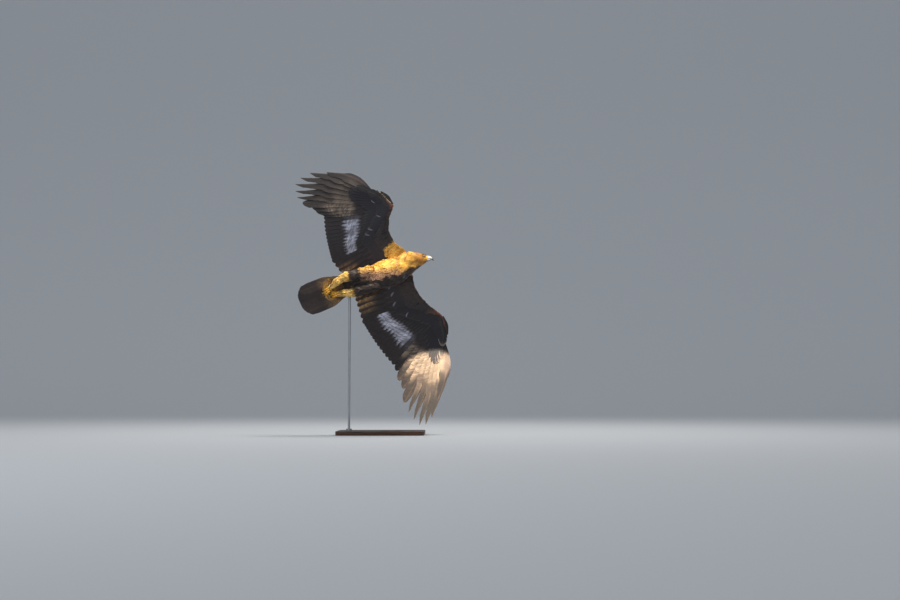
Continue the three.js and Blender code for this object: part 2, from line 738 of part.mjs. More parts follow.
const held = vector(...ROD.at).applyMatrix4(bird.matrix);
const rodFoot = BASE.thick + GAP;
const upright = (radius, height, sides) =>
  solidOf(
    new THREE.CylinderGeometry(radius, radius, height, sides)
      .rotateX(Math.PI / 2)
      .translate(held.x, held.y, rodFoot + height / 2),
  );
const collar = upright(COLLAR.radius, COLLAR.height, COLLAR.sides);
const rod = upright(ROD.radius, held.z - rodFoot, ROD.sides);
add(scene, "stand_base", basePlate(), COLOURS.wood, 0.5);
const post = largest(collar.add(rod).subtract(placed(bodyRoom, bird.matrix)));
add(scene, "stand_rod", post, COLOURS.steel, 0.3, 0.9);

export default scene;
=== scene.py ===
"""A golden eagle in a banked turn on its display stand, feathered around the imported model.

The bird is laid out in millimetres in its plan frame: +X to the bill, +Y to its left and +Z up through
its back. Every Blender object is in metres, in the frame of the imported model.
"""

from __future__ import annotations

import json
import logging
import math
from dataclasses import dataclass, field
from enum import Enum
from typing import Callable, Sequence

import bmesh
import bpy
import numpy as np
from mathutils import Matrix, Vector, noise
from mathutils.bvhtree import BVHTree
from mathutils.kdtree import KDTree

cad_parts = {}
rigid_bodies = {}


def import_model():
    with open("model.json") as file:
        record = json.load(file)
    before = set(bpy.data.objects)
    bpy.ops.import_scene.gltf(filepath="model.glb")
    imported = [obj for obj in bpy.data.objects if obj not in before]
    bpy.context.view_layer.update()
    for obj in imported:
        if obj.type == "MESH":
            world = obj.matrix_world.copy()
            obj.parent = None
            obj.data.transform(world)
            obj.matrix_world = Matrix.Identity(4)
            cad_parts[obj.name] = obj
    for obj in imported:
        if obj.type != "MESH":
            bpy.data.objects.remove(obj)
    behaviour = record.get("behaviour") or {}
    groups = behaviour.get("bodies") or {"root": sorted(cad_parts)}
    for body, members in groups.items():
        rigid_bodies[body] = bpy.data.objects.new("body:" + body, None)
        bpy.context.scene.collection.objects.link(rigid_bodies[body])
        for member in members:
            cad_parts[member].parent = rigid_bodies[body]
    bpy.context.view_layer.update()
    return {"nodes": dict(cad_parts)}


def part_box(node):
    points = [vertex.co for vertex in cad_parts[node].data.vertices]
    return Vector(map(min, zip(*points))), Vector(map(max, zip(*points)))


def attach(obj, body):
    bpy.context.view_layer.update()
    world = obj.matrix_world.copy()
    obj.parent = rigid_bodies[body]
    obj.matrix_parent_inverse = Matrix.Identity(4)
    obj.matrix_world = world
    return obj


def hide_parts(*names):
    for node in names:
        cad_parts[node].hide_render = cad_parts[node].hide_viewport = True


LOG = logging.getLogger("golden_eagle")
Array = np.ndarray
Point = tuple[float, float]
Triple = tuple[float, float, float]
Colour = Triple
Piece = bpy.types.Object
Material = bpy.types.Material
Socket = bpy.types.NodeSocket

MM = 0.001
RIDES_ON = "root"
BAKE_MAP = "OFBake"
VANE_MAP = "Vane"
TINT = "Plumage"
TUFT_PATCH = 0.003
SHARP = math.radians(42)
UNWRAP_ANGLE = math.radians(75)
UNWRAP_MARGIN = 0.001
WELD = 1e-6
FLOAT = "NodeSocketFloat"


class Side(Enum):
    """A side of the bird, as the sign of +Y in its plan frame."""

    LEFT = 1
    RIGHT = -1

    @property
    def word(self) -> str:
        """The side as the node names write it."""
        return self.name.lower()


class Face(Enum):
    """The upper or lower face of a wing or tail."""

    UPPER = 1
    LOWER = -1


class Slot(Enum):
    """The record's material slots."""

    BODY = "plumage_body"
    GOLDEN = "plumage_golden"
    WING = "plumage_wing"
    TAIL = "plumage_tail"
    SKIN = "yellow_skin"
    HORN = "horn"
    EYE = "eye"
    WOOD = "stand_wood"
    STEEL = "stand_steel"


# Small numeric helpers


def colour(red: int, green: int, blue: int) -> Colour:
    """A colour given as it looks on screen, 0 to 255, as linear light."""
    return tuple((c / 255) ** 2.2 for c in (red, green, blue))


def smoothstep(value: Array, low: float, high: float) -> Array:
    """A smooth rise from 0 at low to 1 at high."""
    t = np.clip((np.asarray(value, float) - low) / (high - low), 0, 1)
    return t * t * (3 - 2 * t)


def mix(first: Array, second: Array, share: Array) -> Array:
    """Colours between two others, with one share for each row."""
    share = np.asarray(share, float)[..., None]
    return np.asarray(first) * (1 - share) + np.asarray(second) * share


def heading(angle: float) -> Array:
    """The plan direction, as (forward, out), at an angle in degrees ahead of straight out."""
    return np.array([math.sin(math.radians(angle)), math.cos(math.radians(angle))])


def step(point: Array, angle: float, length: float) -> Array:
    """The plan point a length away from another one."""
    return np.asarray(point, float) + heading(angle) * length


def between(first: Array, second: Array, share: float) -> Array:
    """The point at a share of the way from one point to another."""
    return np.asarray(first, float) * (1 - share) + np.asarray(second, float) * share


def rotation(roll: float, yaw: float) -> Array:
    """A turn about X and then about Z, in degrees, with the turned axes as columns."""
    return np.array(Matrix.Rotation(math.radians(yaw), 3, "Z") @ Matrix.Rotation(math.radians(roll), 3, "X"))


def ruffle(points: Array, size: float) -> Array:
    """A smooth unevenness from -1 to 1 at plan points, with swells of about the given size."""
    return np.array([noise.noise(Vector(point)) for point in np.atleast_2d(points) / size])


def unit(vector: Array) -> Array:
    """A vector at length 1."""
    return vector / np.linalg.norm(vector)


@dataclass(frozen=True)
class Pose:
    """A frame of its own within the plan frame."""

    at: Triple
    roll: float = 0.0
    yaw: float = 0.0

    def plan(self, points: Array) -> Array:
        """Points of this frame as plan points, one row each."""
        return np.asarray(points, float) @ rotation(self.roll, self.yaw).T + np.array(self.at)

    def own(self, points: Array) -> Array:
        """Plan points as points of this frame."""
        return (np.asarray(points, float) - np.array(self.at)) @ rotation(self.roll, self.yaw)


@dataclass(frozen=True)
class PlanFrame:
    """How the bird hangs in the air: its plan frame within the model's frame."""

    place: Point = (-40.0, -20.0)
    height: float = 940.0
    climb: float = 17.7
    lean: float = 5.0

    @property
    def axes(self) -> Array:
        """The plan frame's three axes in the model's frame, one column each.

        Returns:
            The axes as a matrix.
        """
        climb, lean = math.radians(self.climb), math.radians(self.lean)
        right = np.array([1.0, 0.0, 0.0])
        up = np.array([0.0, -math.sin(lean), math.cos(lean)])
        forward = right * math.cos(climb) + up * math.sin(climb)
        left = right * math.sin(climb) - up * math.cos(climb)
        back = np.array([0.0, math.cos(lean), math.sin(lean)])
        return np.stack([forward, left, back], axis=1)

    @property
    def origin(self) -> Array:
        """The plan frame's origin in metres."""
        return np.array([*self.place, self.height]) * MM

    def world(self, points: Array) -> Array:
        """Plan millimetres as metres in the model's frame."""
        return np.asarray(points, float) * MM @ self.axes.T + self.origin

    def plan(self, points: Array) -> Array:
        """Metres in the model's frame as plan millimetres."""
        return (np.asarray(points, float) - self.origin) @ self.axes / MM


PLAN = PlanFrame()
UP = np.array([0.0, 0.0, 1.0])
AWAY = np.array([0.0, 1.0, 0.0])
HEAD = Pose(at=(303, -16, 13), roll=58, yaw=8)


# Mesh helpers


def deselect() -> None:
    """Leaves object mode with nothing selected."""
    if bpy.context.object and bpy.context.object.mode != "OBJECT":
        bpy.ops.object.mode_set(mode="OBJECT")
    bpy.ops.object.select_all(action="DESELECT")


def select(piece: Piece) -> None:
    """Makes one object the only selected and active one."""
    deselect()
    piece.select_set(True)
    bpy.context.view_layer.objects.active = piece


def primitive(add: Callable, name: str, **settings: object) -> Piece:
    """A new mesh under a name of its own.

    Args:
        add: The operator that adds it.
        name: The new object's name.
        settings: The operator's settings.

    Returns:
        The object.
    """
    deselect()
    add(**settings)
    bpy.context.object.name = name
    return bpy.context.object


def finish_mesh(piece: Piece) -> None:
    """Welds doubles, closes open ends and turns the faces outwards.

    Args:
        piece: The object.
    """
    select(piece)
    bpy.ops.object.mode_set(mode="EDIT")
    bpy.ops.mesh.select_all(action="SELECT")
    bpy.ops.mesh.remove_doubles(threshold=WELD)
    bpy.ops.mesh.fill_holes(sides=0)
    bpy.ops.mesh.select_all(action="SELECT")
    bpy.ops.mesh.normals_make_consistent(inside=False)
    bpy.ops.object.mode_set(mode="OBJECT")


def apply_modifier(piece: Piece, kind: str, **settings: object) -> None:
    """Adds a modifier with its settings and applies it.

    Args:
        piece: The object to change.
        kind: The modifier's type.
        settings: Its properties by name.
    """
    select(piece)
    modifier = piece.modifiers.new(kind.title(), kind)
    for name, value in settings.items():
        setattr(modifier, name, value)
    bpy.ops.object.modifier_apply(modifier=modifier.name)


def join(pieces: Sequence[Piece], name: str) -> Piece:
    """Joins pieces into the first of them, under a new name.

    Args:
        pieces: The objects to join.
        name: The name of the joined object and its mesh.

    Returns:
        The joined object.
    """
    select(pieces[0])
    for piece in pieces[1:]:
        piece.select_set(True)
    if len(pieces) > 1:
        bpy.ops.object.join()
    pieces[0].name = name
    pieces[0].data.name = name
    return pieces[0]


def coordinates(piece: Piece) -> Array:
    """A mesh's corners, one row each."""
    flat = np.empty(len(piece.data.vertices) * 3)
    piece.data.vertices.foreach_get("co", flat)
    return flat.reshape(-1, 3)


def set_coordinates(piece: Piece, points: Array) -> None:
    """Moves a mesh's corners."""
    piece.data.vertices.foreach_set("co", np.ascontiguousarray(points, float).ravel())
    piece.data.update()


def head_points(piece: Piece) -> Array:
    """A mesh's corners in the head's frame."""
    return HEAD.own(PLAN.plan(coordinates(piece)))


def set_head_points(piece: Piece, points: Array) -> None:
    """Moves a mesh's corners to points of the head's frame."""
    set_coordinates(piece, PLAN.world(HEAD.plan(points)))


def outward_at(piece: Piece) -> Array:
    """The surface's outward directions in the plan, at each corner of a mesh."""
    normals = np.empty(len(piece.data.vertices) * 3)
    piece.data.vertices.foreach_get("normal", normals)
    return normals.reshape(-1, 3) @ PLAN.axes


def tint_mesh(mesh: bpy.types.Mesh, tints: Array) -> None:
    """Gives a mesh its markings, a colour and the strength of the bars for each corner."""
    mesh.color_attributes.new(TINT, "FLOAT_COLOR", "POINT").data.foreach_set("color", tints.ravel())


def loft(name: str, rings: Array) -> Piece:
    """A closed skin through rings of points, wrapped from a flat grid.

    Args:
        name: The new object's name.
        rings: The plan points, as ring by side by coordinate.

    Returns:
        The object, with its ends closed.
    """
    count, sides = rings.shape[:2]
    add = bpy.ops.mesh.primitive_grid_add
    piece = primitive(add, name, x_subdivisions=sides, y_subdivisions=count - 1, size=2)
    flat = coordinates(piece)
    side = np.rint((flat[:, 0] + 1) / 2 * sides).astype(int) % sides
    ring = np.rint((flat[:, 1] + 1) / 2 * (count - 1)).astype(int)
    set_coordinates(piece, PLAN.world(rings[ring, side]))
    finish_mesh(piece)
    return piece


def ball(
    name: str, centre: Array, radii: Sequence[float], pose: Pose, segments: int = 32
) -> Piece:
    """A rounded lump from a sphere, given in a frame of its own.

    Args:
        name: The new object's name.
        centre: Its middle in the frame.
        radii: Its three half lengths.
        pose: The frame it is given in.
        segments: How finely it is divided.

    Returns:
        The object.
    """
    add = bpy.ops.mesh.primitive_uv_sphere_add
    piece = primitive(add, name, segments=segments, ring_count=segments // 2, radius=1)
    set_coordinates(piece, PLAN.world(pose.plan(coordinates(piece) * np.array(radii) + np.array(centre))))
    bpy.ops.object.shade_smooth()
    return piece


def oval_ring(
    centre: Array, across: Array, upward: Array, wide: float, up: float, down: float, sides: int
) -> Array:
    """The points of an oval about a centre, with its own height above and below it."""
    turn = np.linspace(0, 2 * math.pi, sides, endpoint=False)
    rise = np.sin(turn)
    high = np.where(rise > 0, up, down)
    return centre + np.outer(wide * np.cos(turn), across) + np.outer(rise * high, upward)


def smooth_path(points: Sequence[Sequence[float]], count: int) -> Array:
    """Points spaced along a smooth curve through others.

    Args:
        points: The points to pass through.
        count: How many points to make.

    Returns:
        The points, one row each.
    """
    knots = np.asarray(points, float)
    padded = np.vstack([2 * knots[0] - knots[1], knots, 2 * knots[-1] - knots[-2]])
    place = np.linspace(0, len(knots) - 1, count)
    index = np.minimum(place.astype(int), len(knots) - 2)
    t = (place - index)[:, None]
    a, b, c, d = (padded[index + k] for k in range(4))
    bends = (3 * b - a - 3 * c + d) * t**3 + (2 * a - 5 * b + 4 * c - d) * t**2 + (c - a) * t + 2 * b
    return bends / 2


def tube(path: Array, radii: Sequence[float], sides: int, upward: Array, flat: float = 1.0) -> Array:
    """Rings round a path, with radii spaced evenly along it.

    Args:
        path: The points of the path.
        radii: Radii at even places along it.
        sides: How many points a ring has.
        upward: A direction that the rings keep on top.
        flat: The rings' height as a share of their width.

    Returns:
        The rings, as ring by side by coordinate.
    """
    along = np.gradient(path, axis=0)
    along /= np.linalg.norm(along, axis=1, keepdims=True)
    width = np.interp(np.linspace(0, 1, len(path)), np.linspace(0, 1, len(radii)), radii)
    rings = []
    for centre, direction, radius in zip(path, along, width):
        across = np.cross(upward, direction)
        across /= np.linalg.norm(across)
        top = np.cross(direction, across)
        rings.append(oval_ring(centre, across, top, radius, radius * flat, radius * flat, sides))
    return np.array(rings)


def dress(piece: Piece, finish: Material, slot: Slot, *nodes: str) -> Piece:
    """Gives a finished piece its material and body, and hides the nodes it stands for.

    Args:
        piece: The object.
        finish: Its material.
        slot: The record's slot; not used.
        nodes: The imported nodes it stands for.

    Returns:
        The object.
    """
    piece.name = piece.name.replace(" ", "_")
    piece.data.materials.clear()
    piece.data.materials.append(finish)
    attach(piece, RIDES_ON)
    if nodes:
        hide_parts(*nodes)
    LOG.info("%s: %d faces", piece.name, len(piece.data.polygons))
    return piece


# Materials


class NodeTree:
    """A short hand for the nodes of one tree."""

    def __init__(self, tree: bpy.types.NodeTree) -> None:
        """Keeps the tree that nodes are added to."""
        self.tree = tree

    def feed(self, node: bpy.types.Node, inputs: dict) -> None:
        """Gives a node's inputs their values or links, by name or number.

        Args:
            node: The node.
            inputs: Values, or sockets to link, by name or number.
        """
        for key, value in inputs.items():
            if isinstance(value, Socket):
                self.tree.links.new(value, node.inputs[key])
            else:
                node.inputs[key].default_value = value

    def add(self, kind: str, inputs: dict | None = None, **settings: object) -> bpy.types.Node:
        """Adds a node.

        Args:
            kind: The node's type, without its common prefix.
            inputs: Values, or sockets to link, for its inputs.
            settings: The node's own properties.

        Returns:
            The node.
        """
        node = self.tree.nodes.new("ShaderNode" + kind)
        for name, value in settings.items():
            setattr(node, name, value)
        self.feed(node, inputs or {})
        return node

    def math(self, operation: str, first: object, second: object = 0.0) -> Socket:
        """The result of a math node."""
        return self.add("Math", {0: first, 1: second}, operation=operation).outputs[0]

    def times(self, first: object, second: object) -> Socket:
        """The product of two values."""
        return self.math("MULTIPLY", first, second)

    def plus(self, first: object, second: object) -> Socket:
        """The sum of two values."""
        return self.math("ADD", first, second)

    def vector(self, operation: str, first: object, second: object) -> bpy.types.Node:
        """A vector math node."""
        return self.add("VectorMath", {0: first, 1: second}, operation=operation)

    def blend(self, share: object, first: object, second: object, kind: str = "MIX") -> Socket:
        """A mix of two colours."""
        node = self.add("Mix", data_type="RGBA", blend_type=kind)
        colours = {key: c if isinstance(c, Socket) else (*c, 1) for key, c in ((6, first), (7, second))}
        self.feed(node, {0: share, **colours})
        return node.outputs[2]

    def ramp(self, value: object, *stops: Point) -> Socket:
        """A grey ramp over a value, through stops of place and brightness.

        Args:
            value: The value that is looked up.
            stops: Pairs of place and brightness.

        Returns:
            The ramp's colour.
        """
        node = self.add("ValToRGB", {0: value})
        elements = node.color_ramp.elements
        while len(elements) < len(stops):
            elements.new(0.5)
        for element, (place, grey) in zip(elements, stops):
            element.position = place
            element.color = (grey, grey, grey, 1)
        return node.outputs[0]

    def place(self) -> Socket:
        """The place on the object."""
        return self.add("TexCoord").outputs["Object"]

    def stretched(self, vector: Socket, *scale: float) -> Socket:
        """A vector, scaled along each axis."""
        return self.add("Mapping", {"Vector": vector, "Scale": scale}).outputs[0]

    def noise(self, vector: Socket, scale: object, detail: float, distortion: float = 0.0) -> Socket:
        """The value of a noise texture."""
        inputs = {"Vector": vector, "Scale": scale, "Detail": detail, "Distortion": distortion}
        return self.add("TexNoise", inputs).outputs[0]

    def effect(self, shared: bpy.types.NodeTree, **inputs: float) -> bpy.types.NodeOutputs:
        """The results of a shared group, with its own values."""
        return self.add("Group", inputs, node_tree=shared).outputs

    def bump(self, height: Socket, strength: float, depth: float) -> Socket:
        """The normal that a height gives."""
        return self.add("Bump", {"Strength": strength, "Distance": depth, "Height": height}).outputs[0]


def shared_group(name: str, values: dict[str, float], build: Callable) -> bpy.types.NodeTree:
    """A new shader node group.

    Args:
        name: The group's name.
        values: Its inputs with their default values.
        build: Makes its results by name, from its node helper and its inputs' sockets.

    Returns:
        The group.
    """
    made = bpy.data.node_groups.new(name, "ShaderNodeTree")
    for label, value in values.items():
        made.interface.new_socket(label, in_out="INPUT", socket_type=FLOAT).default_value = value
    nodes = NodeTree(made)
    given = made.nodes.new("NodeGroupInput")
    results = build(nodes, given.outputs)
    for label in results:
        made.interface.new_socket(label, in_out="OUTPUT", socket_type=FLOAT)
    nodes.feed(made.nodes.new("NodeGroupOutput"), results)
    return made


def barbs(nodes: NodeTree, given: bpy.types.NodeOutputs) -> dict[str, Socket]:
    """A vane's barbs: slanting ridges beside the shaft, streaks of tone along them, and dark bars.

    Args:
        nodes: The tree's node helper.
        given: The group's inputs.

    Returns:
        The group's results by name.
    """
    split = nodes.add("SeparateXYZ", {0: nodes.add("UVMap", uv_map=VANE_MAP).outputs[0]}).outputs
    across = nodes.math("ABSOLUTE", split[0])
    slanted = nodes.math("SUBTRACT", split[1], nodes.times(across, given["Slant"]))
    turns = nodes.times(slanted, nodes.times(given["Spacing"], math.tau))
    ridge = nodes.times(nodes.math("SINE", turns), 0.2)
    spread = nodes.add("CombineXYZ", {0: nodes.times(split[0], 0.5), 1: slanted}).outputs[0]
    streaks = nodes.noise(spread, 90.0, 4.0)
    drift = nodes.times(nodes.add("SeparateXYZ", {0: nodes.place()}).outputs[2], 14.0)
    rows = nodes.times(slanted, given["Bar spacing"])
    marbled = nodes.noise(nodes.add("CombineXYZ", {0: split[0], 1: rows, 2: drift}).outputs[0], 2.4, 4.0)
    return {
        "Height": nodes.plus(ridge, streaks),
        "Streak": streaks,
        "Shaft": nodes.ramp(across, (0.006, 1.0), (0.018, 0.0)),
        "Bars": nodes.ramp(marbled, (0.44, 0.0), (0.56, 1.0)),
    }


def mottle(nodes: NodeTree, given: bpy.types.NodeOutputs) -> dict[str, Socket]:
    """Uneven tone over a surface, at a broad and a fine scale."""
    place = nodes.place()
    broad = nodes.times(nodes.noise(place, given["Broad"], 2.0), 0.6)
    return {"Value": nodes.plus(broad, nodes.times(nodes.noise(place, given["Fine"], 4.0), 0.4))}


def wear(nodes: NodeTree, given: bpy.types.NodeOutputs) -> dict[str, Socket]:
    """A mask of fine scratches and dust for hard surfaces."""
    scratches = nodes.ramp(nodes.noise(nodes.place(), given["Scale"], 6.0), (0.45, 0.0), (0.75, 1.0))
    return {"Mask": nodes.times(scratches, given["Amount"])}


class Effects:
    """The node groups that the materials share."""

    def __init__(self) -> None:
        """Builds each group once."""
        self.barbs = shared_group("Barbs", {"Spacing": 150.0, "Slant": 1.3, "Bar spacing": 3.4}, barbs)
        self.mottle = shared_group("Mottle", {"Broad": 14.0, "Fine": 90.0}, mottle)
        self.wear = shared_group("Wear", {"Scale": 30.0, "Amount": 0.5}, wear)


@dataclass(frozen=True)
class Finish:
    """A material, whose kind says what its shader is fed."""

    name: str

    def inputs(self, nodes: NodeTree, effects: Effects | None) -> dict[str, object]:
        """What the kind feeds its shader.

        Args:
            nodes: The tree's node helper.
            effects: The groups that materials share.

        Returns:
            Values and sockets for the shader's inputs by name.
        """
        raise NotImplementedError

    def build(self, effects: Effects | None = None) -> Material:
        """The material, with what its shader shares with others.

        Args:
            effects: The groups that materials share.

        Returns:
            The material.
        """
        material = bpy.data.materials.new(self.name)
        material.use_nodes = True
        nodes = NodeTree(material.node_tree)
        nodes.feed(material.node_tree.nodes["Principled BSDF"], self.inputs(nodes, effects))
        return material


@dataclass(frozen=True)
class PlumageFinish(Finish):
    """A coat of feathers, tinted by the piece's own markings."""

    roughness: float = 0.6
    sheen: float = 0.2
    bump: float = 0.35
    spacing: float = 150.0
    shaft: Colour = colour(62, 44, 34)
    bar: Colour = colour(52, 42, 40)
    shaft_share: float = 0.25

    def inputs(self, nodes: NodeTree, effects: Effects) -> dict[str, object]:
        """The shader's inputs, with barbs, bars, streaks and mottling over the markings."""
        given = nodes.add("Attribute", attribute_name=TINT).outputs
        barb = nodes.effect(effects.barbs, Spacing=self.spacing)
        tone = nodes.effect(effects.mottle)["Value"]
        tint = nodes.blend(nodes.times(given["Alpha"], barb["Bars"]), given["Color"], self.bar)
        shafted = nodes.blend(nodes.times(barb["Shaft"], self.shaft_share), tint, self.shaft)
        streak = nodes.ramp(barb["Streak"], (0.3, 0.75), (0.5, 0.98), (0.7, 1.2))
        patchy = nodes.ramp(tone, (0.3, 0.7), (0.52, 1.0), (0.75, 1.3))
        toned = nodes.blend(1.0, nodes.blend(1.0, shafted, streak, "MULTIPLY"), patchy, "MULTIPLY")
        return {
            "Base Color": toned,
            "Roughness": nodes.plus(self.roughness - 0.1, nodes.times(barb["Streak"], 0.25)),
            "Sheen Weight": self.sheen,
            "Normal": nodes.bump(barb["Height"], self.bump, 0.0003),
        }


@dataclass(frozen=True)
class SkinFinish(Finish):
    """The short down under the coat, in the same markings, darkened as painted shade in the gaps between
    feathers.
    """

    name: str = "down"

    def inputs(self, nodes: NodeTree, effects: Effects) -> dict[str, object]:
        """The shader's inputs, darker than the coat as painted shade between the feathers, and mottled."""
        tint = nodes.add("Attribute", attribute_name=TINT).outputs["Color"]
        tone = nodes.effect(effects.mottle, Broad=40.0, Fine=300.0)["Value"]
        return {
            "Base Color": nodes.blend(1.0, tint, nodes.ramp(tone, (0.3, 0.3), (0.7, 0.6)), "MULTIPLY"),
            "Roughness": 0.9,
            "Normal": nodes.bump(tone, 0.6, 0.0008),
        }


@dataclass(frozen=True)
class HornFinish(Finish):
    """Polished horn, from a pale root to a dark tip."""

    dark: Colour
    pale: Colour
    root: Triple
    reach: float
    roughness: float = 0.28

    def inputs(self, nodes: NodeTree, effects: Effects) -> dict[str, object]:
        """The shader's inputs, shaded by the distance from the root."""
        place = nodes.place()
        share = nodes.math("DIVIDE", nodes.vector("DISTANCE", place, self.root).outputs["Value"], self.reach)
        grain = nodes.noise(place, 220.0, 5.0, 0.6)
        stops = nodes.ramp(nodes.plus(share, nodes.times(grain, 0.12)), (0.2, 0.0), (0.85, 1.0))
        worn = nodes.effect(effects.wear, Scale=160.0, Amount=0.35)["Mask"]
        return {
            "Base Color": nodes.blend(stops, self.pale, self.dark),
            "Roughness": nodes.plus(self.roughness, nodes.times(worn, 0.4)),
            "Normal": nodes.bump(grain, 0.25, 0.0003),
        }


@dataclass(frozen=True)
class BareSkinFinish(Finish):
    """Waxy yellow skin with small scales."""

    base: Colour
    shade: Colour
    scale: float
    bump: float = 0.4
    seam: float = 0.3

    def inputs(self, nodes: NodeTree, effects: Effects) -> dict[str, object]:
        """The shader's inputs, with cells for the scales and darker seams between them."""
        place = {"Vector": nodes.place(), "Scale": self.scale}
        cells = nodes.add("TexVoronoi", place, feature="DISTANCE_TO_EDGE").outputs["Distance"]
        seams = nodes.ramp(cells, (0.0, 1 - self.seam), (0.12, 1.0))
        tone = nodes.effect(effects.mottle, Broad=90.0, Fine=500.0)["Value"]
        return {
            "Base Color": nodes.blend(seams, self.shade, nodes.blend(tone, self.shade, self.base)),
            "Roughness": nodes.math("SUBTRACT", 0.62, nodes.times(seams, 0.2)),
            "Subsurface Weight": 0.08,
            "Normal": nodes.bump(seams, self.bump, 0.0004),
        }


@dataclass(frozen=True)
class EyeFinish(Finish):
    """A brown iris round a black pupil, under a wet cornea."""

    centre: Triple
    gaze: Triple
    radius: float
    iris: Colour = colour(150, 84, 22)
    rim: Colour = colour(60, 32, 10)
    pupil: Colour = colour(8, 7, 6)

    def inputs(self, nodes: NodeTree, effects: Effects) -> dict[str, object]:
        """The shader's inputs, ringed by the angle from the line of sight."""
        place = nodes.place()
        offset = nodes.vector("SUBTRACT", place, self.centre).outputs[0]
        along = nodes.vector("DOT_PRODUCT", offset, self.gaze).outputs["Value"]
        facing = nodes.math("DIVIDE", along, self.radius)
        rays = nodes.times(nodes.math("SUBTRACT", nodes.noise(place, 1400.0, 4.0), 0.5), 0.05)
        ringed = nodes.ramp(nodes.plus(facing, rays), (0.74, 0.0), (0.88, 1.0))
        iris = nodes.blend(ringed, self.rim, self.iris)
        pupil = nodes.ramp(facing, (0.938, 1.0), (0.95, 0.0))
        return {
            "Base Color": nodes.blend(pupil, self.pupil, iris),
            "Roughness": 0.08,
            "Coat Weight": 1.0,
            "Coat Roughness": 0.03,
        }


@dataclass(frozen=True)
class WoodFinish(Finish):
    """Dark oiled wood with its grain along the base."""

    name: str = "oiled walnut"
    dark: Colour = colour(46, 29, 19)
    light: Colour = colour(104, 68, 42)

    def inputs(self, nodes: NodeTree, effects: Effects) -> dict[str, object]:
        """The shader's inputs, with rings stretched along X and fine pores."""
        place = nodes.place()
        rings = nodes.noise(nodes.stretched(place, 1.2, 9.0, 9.0), 3.0, 8.0, 1.2)
        pores = nodes.noise(nodes.stretched(place, 10.0, 240.0, 240.0), 2.0, 3.0)
        grain = nodes.ramp(rings, (0.35, 0.0), (0.5, 0.7), (0.65, 0.25), (0.8, 1.0))
        tone = nodes.blend(grain, self.dark, self.light)
        dimmed = nodes.blend(nodes.ramp(pores, (0.35, 1.0), (0.5, 0.0)), tone, self.dark)
        worn = nodes.effect(effects.wear, Scale=12.0, Amount=0.2)["Mask"]
        return {
            "Base Color": dimmed,
            "Roughness": nodes.plus(0.34, worn),
            "Normal": nodes.bump(pores, 0.15, 0.0004),
        }


@dataclass(frozen=True)
class SteelFinish(Finish):
    """Satin steel, brushed round the rod."""

    name: str = "satin steel"
    base: Colour = colour(172, 174, 178)
    worn: Colour = colour(120, 120, 122)

    def inputs(self, nodes: NodeTree, effects: Effects) -> dict[str, object]:
        """The shader's inputs, with fine lines round the rod."""
        brushed = nodes.noise(nodes.stretched(nodes.place(), 20.0, 20.0, 2400.0), 1.0, 3.0)
        mask = nodes.effect(effects.wear, Scale=40.0, Amount=0.25)["Mask"]
        return {
            "Base Color": nodes.blend(mask, self.base, self.worn),
            "Metallic": 1.0,
            "Roughness": nodes.plus(0.26, nodes.times(brushed, 0.2)),
            "Normal": nodes.bump(brushed, 0.08, 0.0002),
        }


@dataclass(frozen=True)
class FloorFinish(Finish):
    """The studio's plain pale floor."""

    name: str = "pale floor"
    tone: Triple = (0.70, 0.72, 0.74)

    def inputs(self, nodes: NodeTree, effects: Effects | None) -> dict[str, object]:
        """The shader's inputs."""
        return {"Base Color": (*self.tone, 1), "Roughness": 0.9}


# Markings


@dataclass(frozen=True)
class Palette:
    """The plumage colours, as they look on screen."""

    hackle: Colour = colour(164, 102, 29)
    hackle_tip: Colour = colour(220, 158, 58)
    # The breast's gold is painted sunlight on the right side of the breast; the two colours after it are the
    # dimmer lower edge of that painted sunlight.
    breast: Colour = colour(208, 138, 44)
    breast_tip: Colour = colour(255, 208, 92)
    breast_dusk: Colour = colour(130, 90, 66)
    breast_dusk_tip: Colour = colour(204, 160, 128)
    # Throat and belly: the plumage's own dark brown, darkened further as painted shade beyond the painted
    # sunlight.
    throat: Colour = colour(54, 26, 12)
    throat_tip: Colour = colour(76, 40, 16)
    belly: Colour = colour(31, 20, 20)
    belly_tip: Colour = colour(48, 32, 29)
    back: Colour = colour(74, 52, 38)
    back_tip: Colour = colour(122, 90, 62)
    back_rim: Colour = colour(132, 100, 70)
    vent: Colour = colour(128, 86, 38)
    vent_tip: Colour = colour(206, 158, 82)
    leg: Colour = colour(224, 158, 46)
    leg_tip: Colour = colour(255, 222, 134)
    under: Colour = colour(25, 21, 28)
    under_tip: Colour = colour(38, 34, 42)
    axillary: Colour = colour(50, 38, 38)
    # A painted glint on the tips of a few under coverts.
    glint: Colour = colour(140, 140, 154)
    panel: Colour = colour(104, 88, 80)
    panel_edge: Colour = colour(142, 124, 107)
    rufous: Colour = colour(112, 64, 48)
    quill: Colour = colour(38, 29, 31)
    # The secondaries' own pale grey band, brightened as a painted sheen.
    silver: Colour = colour(224, 224, 242)
    tawny: Colour = colour(206, 158, 102)
    tail_base: Colour = colour(136, 106, 78)
    tail_band: Colour = colour(42, 32, 32)


INK = Palette()


